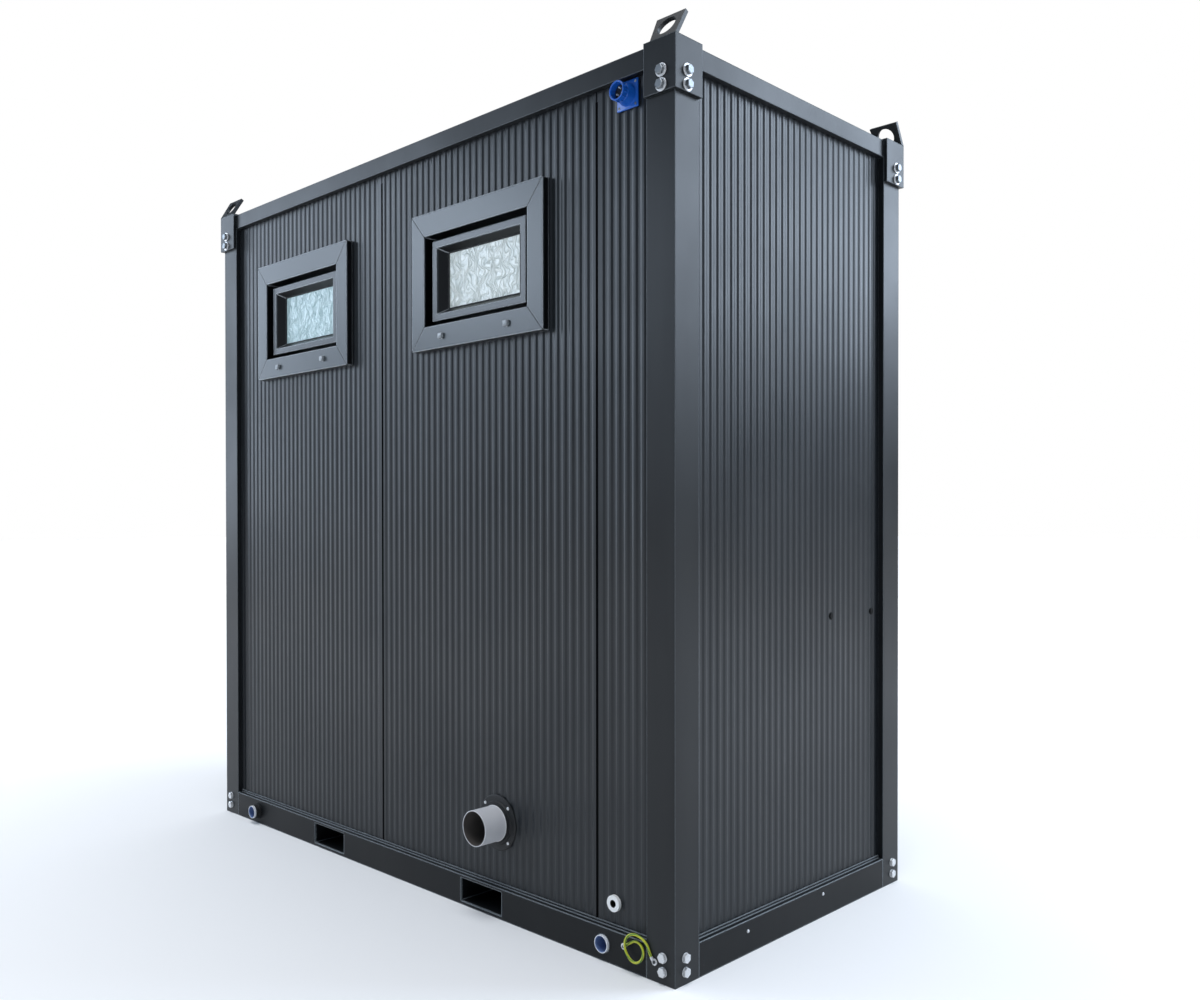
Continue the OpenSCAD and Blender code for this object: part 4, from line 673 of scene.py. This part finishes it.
# %% Recipe for plastic
IN_SHADE = "#040506"


def moulded(name, colour, rough, grain_mm=0.8, strength=0.08, edge_mm=0.8, shaded=None,
            edge_highlight=None, **more):
    """Plastic. shaded is a range of Y, in metres, in which the piece is nearly black."""
    made, tree, shader = new_material(name, colour, rough, **more)
    place = add(tree, "ShaderNodeTexCoord").outputs["Object"]
    cloud = add(tree, "ShaderNodeTexNoise", {"Vector": place, "Scale": 14, "Detail": 3})
    tone = add(tree, "ShaderNodeMix", {"Factor": cloud.outputs["Fac"], "A": paint(colour),
                                       "B": darker(colour, 0.86)},
               data_type="RGBA").outputs["Result"]
    if shaded:
        depth = add(tree, "ShaderNodeSeparateXYZ", {"Vector": place}).outputs["Y"]
        behind = add(tree, "ShaderNodeMath", {0: depth, 1: shaded[0]}, operation="GREATER_THAN")
        before = add(tree, "ShaderNodeMath", {0: depth, 1: shaded[1]}, operation="LESS_THAN")
        between = add(tree, "ShaderNodeMath", {0: behind.outputs[0], 1: before.outputs[0]},
                      operation="MULTIPLY")
        tone = add(tree, "ShaderNodeMix", {"Factor": between.outputs[0], "A": tone,
                                           "B": paint(IN_SHADE)},
                   data_type="RGBA").outputs["Result"]
    edge = add(tree, "ShaderNodeBevel", {"Radius": edge_mm / 1000}, samples=4)
    # A lighter colour along the edges, when one is given, is a painted highlight.
    if edge_highlight:
        tone = painted_edge_highlights(tree, edge, tone, *edge_highlight)
    tree.links.new(tone, shader.inputs["Base Color"])
    grain = add(tree, "ShaderNodeTexNoise", {"Vector": place, "Scale": 1000 / grain_mm / 3,
                                             "Detail": 2})
    bump = add(tree, "ShaderNodeBump", {"Height": grain.outputs["Fac"], "Strength": strength,
                                        "Distance": 0.0003, "Normal": edge.outputs[0]})
    tree.links.new(bump.outputs[0], shader.inputs["Normal"])
    return made


# %% [markdown]
# ## Colours that depend on the place
# The bore of a pipe lies in its own shade, painted in as a darker colour, and two mitred bars of a
# window frame meet in a fine groove whose shade is painted as a dark line, though each is one
# piece with what is round it. They could be pieces of their own. A mask on the place, 1 there and
# 0 elsewhere, needs no cut in the mesh and follows it to the edge.

# %% A second colour behind a mask
def second_colour(material, mask_maker, colour, y_limit, **sizes):
    """Another colour where the mask is 1, on the outer part of the service side only."""
    tree = material.node_tree
    shader = tree.nodes["Principled BSDF"]
    place = add(tree, "ShaderNodeTexCoord").outputs["Object"]
    depth = add(tree, "ShaderNodeSeparateXYZ", {"Vector": place}).outputs["Y"]
    outer = add(tree, "ShaderNodeMath", {0: depth, 1: y_limit}, operation="LESS_THAN")
    mask = add(tree, "ShaderNodeMath", {0: mask_maker(tree, place, **sizes),
                                        1: outer.outputs[0]}, operation="MULTIPLY")
    first = shader.inputs["Base Color"].links[0].from_socket
    both = add(tree, "ShaderNodeMix", {"Factor": mask.outputs[0], "A": first,
                                       "B": paint(colour)}, data_type="RGBA")
    tree.links.new(both.outputs["Result"], shader.inputs["Base Color"])


# %% [markdown]
# Two such masks are needed. The first tells a pipe's inside by its distance from the axis.

# %% Mask of a bore
def bore(tree, place, axis, radius, on_both_sides=False):
    """1 up to this radius from an axis that runs along Y."""
    if on_both_sides:
        place = add(tree, "ShaderNodeVectorMath", {0: place}, operation="ABSOLUTE").outputs[0]
    from_axis = add(tree, "ShaderNodeVectorMath", {0: place, 1: axis}, operation="SUBTRACT")
    flat = add(tree, "ShaderNodeVectorMath", {0: from_axis.outputs[0], 1: (1.0, 0.0, 1.0)},
               operation="MULTIPLY")
    reach = add(tree, "ShaderNodeVectorMath", {0: flat.outputs[0]}, operation="LENGTH")
    return add(tree, "ShaderNodeMath", {0: reach.outputs["Value"], 1: radius},
               operation="LESS_THAN").outputs[0]


# %% [markdown]
# The second draws the painted shade of the mitres. One runs where a point is as far across the
# side bar as across the level one, each counted as a share of the bar's own width. The place is
# folded twice, once onto one window and once onto one corner, so that one line serves all eight.

# %% Mask of the mitres
WINDOW_X, WINDOW_Z = (-0.628, 0.414), 2.022
FRAME_W, FRAME_H = 0.645, 0.451
BAR_SIDE, BAR_LEVEL, MITRE_SHARE = 0.068, 0.076, 0.032
MIDDLE_X, HALF_PITCH = sum(WINDOW_X) / 2, (WINDOW_X[1] - WINDOW_X[0]) / 2


def mitre_shade_lines(tree, place):
    """1 on the mitres of both window frames, where a dark line of painted shade goes."""
    for operation, value in (("SUBTRACT", (MIDDLE_X, 0, WINDOW_Z)), ("ABSOLUTE", (0, 0, 0)),
                             ("SUBTRACT", (HALF_PITCH, 0, 0)), ("ABSOLUTE", (0, 0, 0)),
                             ("SUBTRACT", (FRAME_W / 2, 0, FRAME_H / 2)),
                             ("DIVIDE", (BAR_SIDE, 1, BAR_LEVEL))):
        place = add(tree, "ShaderNodeVectorMath", {0: place, 1: value},
                    operation=operation).outputs[0]
    shares = add(tree, "ShaderNodeSeparateXYZ", {"Vector": place})
    apart = add(tree, "ShaderNodeMath", {0: shares.outputs["X"], 1: shares.outputs["Z"]},
                operation="SUBTRACT")
    size = add(tree, "ShaderNodeMath", {0: apart.outputs[0]}, operation="ABSOLUTE")
    return add(tree, "ShaderNodeMath", {0: size.outputs[0], 1: MITRE_SHARE},
               operation="LESS_THAN").outputs[0]


print("windows:", WINDOW_X, "half their pitch:", round(HALF_PITCH, 4))

# %% [markdown]
# Frame and sash are extruded plastic under an anthracite foil. In the photograph their edges are
# the brightest lines of the wall, so both get a painted highlight, drawn at 6 mm so that they
# show.

# %% Window profiles
# Extruded profile with a grained anthracite foil: a soft gloss, a painted highlight on the long
# edges, painted shade in the mitres.
window_plastic = moulded("foiled_window_profile", "#343b40", 0.3, 0.6, 0.12, 6.0,
                         shaded=(-0.5895, -0.545), edge_highlight=("#c4ccd2", 0.9))
# A near-black line on the mitres: painted shade in their fine grooves.
second_colour(window_plastic, mitre_shade_lines, "#050607", -0.59)
wear(window_plastic, "window_frames")

# The sash has the same foil and painted edge highlight. Its colour is darker as painted shade,
# because it stands back in the reveal.
sash_plastic = moulded("foiled_sash_profile", "#23292d", 0.3, 0.6, 0.12, 6.0,
                       shaded=(-0.5745, -0.545), edge_highlight=("#c4ccd2", 0.9))
wear(sash_plastic, "sash_left", "sash_right")

# Grey polyamide caps, glossy enough to show as two light dots under each window.
cap_plastic = moulded("grey_weep_cap", "#8c9297", 0.25, edge_mm=1.5)

# %% [markdown]
# ## Pipes, housings, ceramics and rubber
# The pipes are pale outside and darker inside, where the light comes in at the mouth only. The
# white pipes take a bluish tone there, as in the photograph. Ceramic gets a clear coat, because
# its glaze is a layer of glass that mirrors while the body under it stays soft.

# %% Pipes
# Drain pipe of unpolished plastic: an even light grey, with a painted highlight on the rim.
grey_pipe = moulded("light_grey_drain_pipe", "#d9dade", 0.4, edge_mm=3.0,
                    edge_highlight=("#ffffff", 0.8))
# Painted shade in the bore of the soil pipe.
second_colour(grey_pipe, bore, "#55514e", -0.5, axis=(SOIL_X, 0, SOIL_Z), radius=0.0526)
wear(grey_pipe, "soil_pipe")

# Waste pipe: a white ring round a bore painted blue grey as shade.
white_pipe = moulded("white_waste_pipe", "#eef2f8", 0.35)
second_colour(white_pipe, bore, "#6f86b4", -0.5, axis=(0.975, 0, 0.049), radius=0.0226,
              on_both_sides=True)
wear(white_pipe, "waste_pipes")

# %% [markdown]
# The other pieces come from the mould in one colour each, so the recipe alone makes them. It
# serves for ceramic too, with the clear coat for its glaze.

# %% Housings, rubber and sanitary ware
# Clear, saturated blue with a moulded gloss, the one strong colour on the dark wall.
blue_plastic = moulded("blue_moulded_polyamide", "#1257b4", 0.3, edge_mm=1.5)
wear(blue_plastic, "inlet_housing")

# Dull black with a coarse skin, which swallows nearly all light.
black_rubber = moulded("black_moulded_rubber", "#141618", 0.6, 1.2, 0.2)
wear(black_rubber, "pipe_collars")

# Plain moulded white with a mild gloss.
white_plastic = moulded("white_moulded_plastic", "#eceded", 0.25)
wear(white_plastic, "cisterns", "toilet_seat_left", "toilet_seat_right", "toilet_lid_left",
     "toilet_lid_right", "consumer_unit")

# Warm white under a wet-looking glaze.
ceramic = moulded("glazed_sanitary_ceramic", "#f2f2ee", 0.08, 6, 0.03, 4.0, Coat_Weight=0.6,
                  Coat_Roughness=0.04)
wear(ceramic, "toilet_pans", "washbasins")

# %% [markdown]
# The water inlet is a white flange with a brass thread in it. The mask of a bore splits the two,
# and the thread gets a nearly black painted shade, so it reads as a dark ring from a few metres
# away. Its real pitch is 1.8 mm, too fine to show, so the ridges are drawn at about twice that.

# %% Water inlet with its thread
THREAD_PITCH_MM, THREAD_R, FLANGE, BRASS_IN_PAINTED_SHADE = 1.8, 0.0108, "#f1f2f1", "#1d1b17"
# Smooth white flange round a thread in painted shade, which looks nearly black.
flange, tree, shader = new_material("white_flange_with_brass_thread", FLANGE, 0.3)
place = add(tree, "ShaderNodeTexCoord").outputs["Object"]
within = bore(tree, place, (1.005, 0.0, 0.165), THREAD_R)
two_parts = add(tree, "ShaderNodeMix", {"Factor": within, "A": paint(FLANGE),
                                        "B": paint(BRASS_IN_PAINTED_SHADE)}, data_type="RGBA")
turns = add(tree, "ShaderNodeTexWave", {"Vector": place,
                                        "Scale": 1000 / THREAD_PITCH_MM / 6.283},
            bands_direction="Y")  # a wave repeats every 0.314 m divided by its scale
ridges = add(tree, "ShaderNodeMath", {0: turns.outputs["Fac"], 1: within}, operation="MULTIPLY")
bump = add(tree, "ShaderNodeBump", {"Height": ridges.outputs[0], "Strength": 0.6,
                                    "Distance": 0.0008})
tree.links.new(two_parts.outputs["Result"], shader.inputs["Base Color"])
tree.links.new(bump.outputs[0], shader.inputs["Normal"])
wear(flange, "water_inlet")

# %% [markdown]
# ## Striped insulation
# An earth conductor is yellow with two green stripes that run along it. The stripes follow V, the
# way round the tube, and wind slowly along U, so they read as the short dashes of a twisted cable.

# %% Earth cable insulation
STRIPES, STRIPE_SHARE, WIND = 2.0, 0.3, 0.14  # one turn of the stripes takes 0.14 m
# Soft extruded plastic: two muted colours with little gloss.
earth_skin, tree, shader = new_material("yellow_and_green_insulation", "#c8cf3a", 0.42)
uv = add(tree, "ShaderNodeUVMap", uv_map="UVMap")
parts = add(tree, "ShaderNodeSeparateXYZ", {"Vector": uv.outputs[0]})
wind = add(tree, "ShaderNodeMath", {0: parts.outputs["X"], 1: 1 / WIND}, operation="MULTIPLY")
round_it = add(tree, "ShaderNodeMath", {0: parts.outputs["Y"], 1: wind.outputs[0]},
               operation="ADD")
counted = add(tree, "ShaderNodeMath", {0: round_it.outputs[0], 1: STRIPES}, operation="MULTIPLY")
saw = add(tree, "ShaderNodeMath", {0: counted.outputs[0]}, operation="FRACT")
stripe = add(tree, "ShaderNodeMath", {0: saw.outputs[0], 1: STRIPE_SHARE}, operation="LESS_THAN")
two_tone = add(tree, "ShaderNodeMix", {"Factor": stripe.outputs[0], "A": paint("#bcc132"),
                                       "B": paint("#5c8a33")}, data_type="RGBA")
tree.links.new(two_tone.outputs["Result"], shader.inputs["Base Color"])
earth_cable.data.materials.append(earth_skin)

# %% [markdown]
# ## Power inlet
# The inlet is a blue moulded housing on a square plate: a flared neck, a round mouth with a
# thicker rim, grip ribs round the neck, and a black insert that carries three pins. It could be
# cut from primitives, but everything round in it has one axis. So it is turned on a lathe, with
# one profile each for the neck, the insert and a pin, and only the plate and the ribs are blocks.

# %% Faces that point outwards
def face_outwards(data, merge_within=None):
    """Turns all faces of a closed mesh outwards, once any doubles are merged."""
    shape = bmesh.new()
    shape.from_mesh(data)
    if merge_within:
        bmesh.ops.remove_doubles(shape, verts=shape.verts, dist=merge_within)
    bmesh.ops.recalc_face_normals(shape, faces=shape.faces)
    shape.to_mesh(data)
    shape.free()


# %% [markdown]
# A lathe spins a profile round an axis. The ends of the profile lie on the axis, where all their
# copies meet in one point, so these are merged before the faces are turned outwards.

# %% Lathe
def turned_piece(name, profile, at, axis, material, segments=64):
    """Spins (radius, height) pairs round an axis and joins the ends to the axis."""
    turn = Vector((0, 0, 1)).rotation_difference(Vector(axis)).to_matrix()
    points, faces, n = [], [], len(profile)
    for k in range(segments):
        a = 2 * math.pi * k / segments
        points += [Vector(at) + turn @ Vector((r * math.cos(a), r * math.sin(a), h))
                   for r, h in profile]
    for k in range(segments):
        m = (k + 1) % segments
        faces += [(k * n + i, m * n + i, m * n + i + 1, k * n + i + 1) for i in range(n - 1)]
    made = mesh_object(name, points, faces)
    face_outwards(made.data, merge_within=1e-6)
    made.data.shade_smooth()
    made.data.set_sharp_from_angle(angle=math.radians(32))
    made.data.materials.append(material)
    return made


# %% [markdown]
# A moulded block has no sharp edge, so a cube is stretched between two corners and its edges get a
# real bevel, which a bump could only pretend.

# %% Rounded blocks
def rounded_block(name, lo, hi, radius, material, segments=3):
    """A block from corner lo to corner hi with rounded edges."""
    shape = bmesh.new()
    bmesh.ops.create_cube(shape, size=1)
    size, middle = Vector(hi) - Vector(lo), (Vector(hi) + Vector(lo)) / 2
    bmesh.ops.scale(shape, vec=size, verts=shape.verts)
    bmesh.ops.translate(shape, vec=middle, verts=shape.verts)
    bmesh.ops.bevel(shape, geom=shape.edges[:], offset=radius, segments=segments, affect="EDGES",
                    profile=0.5)
    made = mesh_object(name, [], [])
    shape.to_mesh(made.data)
    shape.free()
    made.data.shade_smooth()
    made.data.set_sharp_from_angle(angle=math.radians(50))
    made.data.materials.append(material)
    return made


# %% [markdown]
# The housing is put together from these. Everything is measured from the foot of its axis on the
# wall, and the grip ribs stand on a ring round the neck, one every 30 degrees.

# %% Power inlet
WALL_Y, PLATE_HALF = -0.570, 0.039
RIB_RING, RIB_HALF, RIB_FRONT, RIB_BACK = 0.0262, 0.0012, -0.612, -0.601
INLET_FOOT = (INLET_X, WALL_Y, INLET_Z)
mm = 0.001
# Pairs of radius and height in millimetres, from the axis round the shape and back to it.
neck = [(0, 5), (31, 5), (30.5, 7), (26.5, 24), (26.5, 29), (25, 30), (25, 44), (26.8, 45.5),
        (26.8, 49), (26, 50), (23, 50), (22.2, 49), (22, 6), (0, 6)]
insert = [(0, 6), (21.6, 6), (21.6, 30), (20.5, 31), (0, 31)]
inlet_parts = [
    rounded_block("inlet_plate", (INLET_X - PLATE_HALF, PLATE_Y, INLET_Z - PLATE_HALF),
                  (INLET_X + PLATE_HALF, WALL_Y, INLET_Z + PLATE_HALF), 0.002, blue_plastic),
    turned_piece("inlet_neck", [(r * mm, h * mm) for r, h in neck], INLET_FOOT, (0, -1, 0),
                 blue_plastic),
    turned_piece("inlet_insert", [(r * mm, h * mm) for r, h in insert], INLET_FOOT, (0, -1, 0),
                 black_rubber)]
for k in range(12):
    x, z = polar(INLET_X, INLET_Z, RIB_RING, 30 * k + 15)
    inlet_parts.append(rounded_block("grip_rib", (x - RIB_HALF, RIB_FRONT, z - RIB_HALF),
                                     (x + RIB_HALF, RIB_BACK, z + RIB_HALF), 0.0004,
                                     blue_plastic, 1))
power_inlet = joined("power_inlet_housing", inlet_parts)
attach(power_inlet, "container")
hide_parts("inlet_housing")
print("power inlet:", len(power_inlet.data.polygons), "faces")

# %% [markdown]
# The three pins stand in the insert at a third of a turn from each other, each with a small taper
# at its tip so that a plug finds its way.

# %% Pins of the power inlet
pin = [(0, 5), (2.4, 5), (2.4, 37), (1.8, 38), (0, 38.2)]
pin_feet = [polar(INLET_X, INLET_Z, 0.011, degrees) for degrees in (90, 210, 330)]
pins = joined("power_inlet_pins", [
    turned_piece("pin", [(r * mm, h * mm) for r, h in pin], (x, WALL_Y, z), (0, -1, 0), zinc, 24)
    for x, z in pin_feet])
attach(pins, "container")
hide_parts("inlet_pins")
print("pins:", len(pin_feet))

# %% [markdown]
# ## Seals and small caps of the windows
# A black rubber lip holds the glass in the sash, another closes the gap inside the frame, and two
# hooded caps cover the weep slots of the lower frame bar. A lip could be a bevelled curve. Here it
# is a small round profile, carried by hand round a rectangle with rounded corners, which gives
# clean corners with few faces.

# %% Rubber lips round a rectangle
def lip(name, width, height, corner, thick, at, material):
    """A round bead of the given thickness round an upright rectangle."""
    line = []
    for cx, cz, start in ((1, 1, 0), (-1, 1, 90), (-1, -1, 180), (1, -1, 270)):
        for k in range(5):
            a = math.radians(start + 90 * k / 4)
            line.append((cx * (width / 2 - corner) + corner * math.cos(a),
                         cz * (height / 2 - corner) + corner * math.sin(a)))
    points, faces, sides, n = [], [], 8, len(line)
    for i, (u, v) in enumerate(line):
        before, after = line[i - 1], line[(i + 1) % n]
        run_u, run_v = after[0] - before[0], after[1] - before[1]
        scale = math.hypot(run_u, run_v)
        out_u, out_v = run_v / scale, -run_u / scale
        for k in range(sides):
            a = 2 * math.pi * k / sides
            reach, lift = thick / 2 * math.cos(a), thick / 2 * math.sin(a)
            points.append(Vector(at) + Vector((u + out_u * reach, lift, v + out_v * reach)))
    for i in range(n):
        j = (i + 1) % n
        faces += [(i * sides + k, j * sides + k, j * sides + (k + 1) % sides,
                   i * sides + (k + 1) % sides) for k in range(sides)]
    made = mesh_object(name, points, faces, smooth=True)
    face_outwards(made.data)
    made.data.materials.append(material)
    return made


# %% [markdown]
# The glass lip rides on the sash and tilts with it. The frame lip and the caps ride on the
# container, so they stay where they are.

# %% Window seals and caps
# Width, height, corner radius and thickness.
GLASS_LIP, FRAME_LIP = (0.353, 0.183, 0.004, 0.005), (0.503, 0.293, 0.006, 0.008)
GLASS_LIP_Y, FRAME_LIP_Y = -0.5515, -0.5275
CAP_HALF_W, CAP_FRONT, CAP_BACK = 0.0105, -0.6046, -0.5945
for side_name, x in zip(("left", "right"), WINDOW_X):
    glass_lip = lip(f"glass_lip_{side_name}", *GLASS_LIP, (x, GLASS_LIP_Y, WINDOW_Z), black_rubber)
    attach(glass_lip, f"window_sash_{side_name}")
    frame_lip = lip(f"frame_lip_{side_name}", *FRAME_LIP, (x, FRAME_LIP_Y, WINDOW_Z), black_rubber)
    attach(frame_lip, "container")
    z = WINDOW_Z - (FRAME_H - BAR_LEVEL) / 2
    caps = joined(f"weep_caps_{side_name}", [
        rounded_block("cap", (cap_x - CAP_HALF_W, CAP_FRONT, z - 0.009),
                      (cap_x + CAP_HALF_W, CAP_BACK, z + 0.0095), 0.0025, cap_plastic)
        for cap_x in (x - FRAME_W / 4, x + FRAME_W / 4)])
    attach(caps, "container")
    print(side_name, "window: two lips and two caps round x =", x)

# %% [markdown]
# ## Painted shade in the panel joints
# A black strip, 9 mm wide and half a millimetre proud, covers the joint between two wall panels as
# painted shade where the shade of a gap would be, so each joint reads as a thin black line from
# the base rail up to the roof rail. A gap between the panels would do as well, but the panels of
# the model touch.

# %% Painted shade in the joints
JOINTS_X, STRIP_HALF_W, STRIP_FRONT, STRIP_BACK = (-0.118, 0.935), 0.0045, -0.5706, -0.5696
# A black strip with no gloss at all: painted shade that stays black in full light.
joint_shade_black = new_material("black_joint_foam", "#030304", 0.95, Specular_IOR_Level=0.05)[0]
joint_shade_strips = joined("panel_joint_seals", [
    rounded_block("joint_seal", (x - STRIP_HALF_W, STRIP_FRONT, 0.098),
                  (x + STRIP_HALF_W, STRIP_BACK, 2.415), 0.0004, joint_shade_black, 2) for x in JOINTS_X])
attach(joint_shade_strips, "container")
print("joint seals at x =", JOINTS_X)

# %% [markdown]
# ## Privacy glass
# The windows have patterned glass, rolled with curling leaf shapes of some 25 mm. A picture of
# such glass would repeat, so a smooth Voronoi pattern gives the leaves, noise bends it into curls,
# and a distorted wave draws the fine ridges in them. The pane is modelled milky and gives off a
# faint light of its own, as if daylight lay in it, so nothing of the cubicle shows.

# %% Patterned glass
CURL_SCALE, LEAF_SCALE, RIDGE_SCALE = 24, 40, 20
RELIEF_M, RIDGE_SHARE, CURL_REACH = 0.002, 0.6, (0.07, 0.07, 0.07)


def privacy_glass(name, hollow, raised, daylight, strength):
    made, tree, shader = new_material(name, raised, 0.22, Coat_Weight=0.12, Coat_Roughness=0.08,
                                      Emission_Strength=strength)
    shader.inputs["Emission Color"].default_value = paint(daylight)
    place = add(tree, "ShaderNodeTexCoord").outputs["Object"]
    bend = add(tree, "ShaderNodeTexNoise", {"Vector": place, "Scale": CURL_SCALE, "Detail": 1})
    bent = add(tree, "ShaderNodeVectorMath", {0: bend.outputs["Color"], 1: CURL_REACH},
               operation="MULTIPLY")
    moved = add(tree, "ShaderNodeVectorMath", {0: place, 1: bent.outputs[0]}, operation="ADD")
    leaves = add(tree, "ShaderNodeTexVoronoi", {"Vector": moved.outputs[0], "Scale": LEAF_SCALE,
                                                "Smoothness": 1.0}, feature="SMOOTH_F1")
    veins = add(tree, "ShaderNodeMapRange", {"Value": leaves.outputs["Distance"],
                                             "From Max": 0.7})
    fine = add(tree, "ShaderNodeTexWave", {"Vector": moved.outputs[0], "Scale": RIDGE_SCALE,
                                           "Distortion": 11, "Detail": 1})
    relief = add(tree, "ShaderNodeMath", {0: fine.outputs["Fac"], 1: RIDGE_SHARE,
                                          2: veins.outputs[0]}, operation="MULTIPLY_ADD")
    # The relief reaches 1.6, so this brings it back to 0 to 1 for the colours.
    shares = add(tree, "ShaderNodeMath", {0: relief.outputs[0], 1: 0.62}, operation="MULTIPLY")
    shades = add(tree, "ShaderNodeMix", {"Factor": shares.outputs[0], "A": paint(hollow),
                                         "B": paint(raised)}, data_type="RGBA")
    bump = add(tree, "ShaderNodeBump", {"Height": relief.outputs[0], "Strength": 0.9,
                                        "Distance": RELIEF_M})
    tree.links.new(shades.outputs["Result"], shader.inputs["Base Color"])
    tree.links.new(bump.outputs[0], shader.inputs["Normal"])
    return made


# The panes differ by painted reflection: blue sky is painted into the left one, the right is
# painted whiter.
wear(privacy_glass("milky_glass_left", "#86a3a6", "#bdd3d5", "#9fd0d6", 0.07), "glass_left")
wear(privacy_glass("milky_glass_right", "#98a5a1", "#cfd5d0", "#e6eeea", 0.07), "glass_right")

# %% [markdown]
# ## Surfaces inside and on the roof
# The floor is wet-room vinyl with fine chips on a plywood board. The chips could be scattered
# points, but the cells of a Voronoi pattern are quicker: each cell has its own random value, and
# those over a limit become chips. The walls and the ceiling are white sheet, and the roof is
# galvanised sheet, dulled by weather.

# %% Vinyl with chips
CHIP_FROM, CHIP_FULL = 0.62, 0.7


def chips(name, colour, chip_colour, chip_mm, rough):
    made, tree, shader = new_material(name, colour, rough)
    place = add(tree, "ShaderNodeTexCoord").outputs["Object"]
    grit = add(tree, "ShaderNodeTexVoronoi", {"Vector": place, "Scale": 1000 / chip_mm})
    pick = add(tree, "ShaderNodeMapRange", {"Value": grit.outputs["Color"],
                                            "From Min": CHIP_FROM, "From Max": CHIP_FULL})
    tone = add(tree, "ShaderNodeMix", {"Factor": pick.outputs[0], "A": paint(colour),
                                       "B": paint(chip_colour)}, data_type="RGBA")
    bump = add(tree, "ShaderNodeBump", {"Height": pick.outputs[0], "Strength": 0.2,
                                        "Distance": 0.0003})
    tree.links.new(tone.outputs["Result"], shader.inputs["Base Color"])
    tree.links.new(bump.outputs[0], shader.inputs["Normal"])
    return made


# Grey speckle with a dull, slightly rough face.
wear(chips("wet_room_vinyl", "#6a7074", "#8b9194", 3, 0.5), "floor_covering")

# %% [markdown]
# The boards and sheets reuse the recipes for plastic and for painted steel, at a coarser grain.

# %% Boards and sheets
# Brown film-faced board, seen from below only.
wear(moulded("phenolic_plywood", "#8a6b48", 0.55, 2.0, 0.2), "floor_board")
# The white inner sheet of the panels: an even, faintly glossy white.
wear(moulded("white_coated_inner_sheet", INNER_WHITE, 0.35, 1.5, 0.05), "partition_wall",
     "ceiling_panel")
# Dull zinc grey with dusty streaks.
wear(dusty_paint("weathered_roof_sheet", "#7b8287", "#5f6364", 0.45, edge_mm=2.0), "roof_panel")
# Opal cover: soft white with a smooth face.
wear(moulded("opal_lamp_cover", "#f6f6f2", 0.3, 2.0, 0.02, 2.0), "ceiling_lights")

# %% [markdown]
# ## Floor
# The container stands on a pale floor that grows lighter with the distance, so it runs into the
# white behind it without a horizon. One large face does it, since its light of its own hides the
# edge.

# %% Floor
FLOOR_HALF = 60
floor = mesh_object("studio_floor", [(-FLOOR_HALF, -FLOOR_HALF, 0), (FLOOR_HALF, -FLOOR_HALF, 0),
                                     (FLOOR_HALF, FLOOR_HALF, 0), (-FLOOR_HALF, FLOOR_HALF, 0)],
                    [(0, 1, 2, 3)])
# Matt paper white, which takes a soft shadow and gives a little light of its own further out.
floor_material, tree, shader = new_material("pale_studio_floor", "#f6f6f6", 0.9)
place = add(tree, "ShaderNodeTexCoord").outputs["Object"]
distance = add(tree, "ShaderNodeVectorMath", {0: place}, operation="LENGTH")
lift = add(tree, "ShaderNodeMapRange", {"Value": distance.outputs["Value"], "From Min": 2.0,
                                        "From Max": 9.0, "To Max": 0.3})
shader.inputs["Emission Color"].default_value = paint("#ffffff")
tree.links.new(lift.outputs[0], shader.inputs["Emission Strength"])
floor.data.materials.append(floor_material)
print("floor:", 2 * FLOOR_HALF, "m wide")

# %% [markdown]
# ## Surrounding
# The surrounding is white where the camera sees it, and a quiet blue grey where it only lights and
# mirrors, because a white one would wash out the dark walls. A Light Path node tells these apart.

# %% Surrounding
world = bpy.data.worlds.new("studio")
bpy.context.scene.world = world
world.use_nodes = True
tree = world.node_tree
seen_white = add(tree, "ShaderNodeBackground", {"Color": paint("#ffffff"), "Strength": 1.0})
mirrored = add(tree, "ShaderNodeBackground", {"Color": paint("#b4c2d4"), "Strength": 0.36})
ray = add(tree, "ShaderNodeLightPath")
chosen = add(tree, "ShaderNodeMixShader", {"Fac": ray.outputs["Is Camera Ray"]})
tree.links.new(mirrored.outputs[0], chosen.inputs[1])
tree.links.new(seen_white.outputs[0], chosen.inputs[2])
tree.links.new(chosen.outputs[0], tree.nodes["World Output"].inputs["Surface"])
print("surrounding: white to the camera, blue grey to the surfaces")

# %% [markdown]
# ## Lights
# A broad sun from straight above makes the floor even and leaves the walls dark, and a narrow one
# beside it draws the upper edges. What models the walls is what they mirror, so each wall gets a
# soft box where a mirror in its place would show one: a tall box far to the left for the flanks of
# the ribs on the long side, one above it for that side's upper half, and a large one behind on the
# right for the upper half of the end, as a bright sky does in the photograph.

# %% Lights
def lamp(name, kind, at, target, colour, energy, size):
    """An area lamp with a size in metres, or a sun with an apparent width in degrees."""
    data = bpy.data.lights.new(name, kind)
    data.energy, data.color = energy, paint(colour)[:3]
    if kind == "AREA":
        data.shape, data.size, data.size_y = "RECTANGLE", *size
    else:
        data.angle = math.radians(size)
    made = bpy.data.objects.new(name, data)
    bpy.context.scene.collection.objects.link(made)
    made.location = at
    made.rotation_euler = (Vector(target) - Vector(at)).to_track_quat("-Z", "Y").to_euler()
    made.visible_camera = False
    print(name, energy)


SKY = "#cfdef0"
lamp("broad_sun", "SUN", (0, 0, 8), (0, 0, 0), "#ffffff", 1.75, 70)
lamp("edge_sun", "SUN", (1.2, -1.4, 8), (0, 0, 0), "#f2f7ff", 0.6, 14)
lamp("end_box", "AREA", (5.2, 5.6, 4.6), (1.2, 0, 1.7), SKY, 520, (4.6, 4.0))
lamp("side_box", "AREA", (-7.5, -3.2, 3.4), (0, -0.6, 1.5), SKY, 190, (2.2, 5.0))
lamp("top_box", "AREA", (-7.5, -7.4, 4.7), (0.2, -0.57, 2.0), SKY, 230, (3.0, 2.4))
bpy.context.scene.view_settings.view_transform = "Standard"
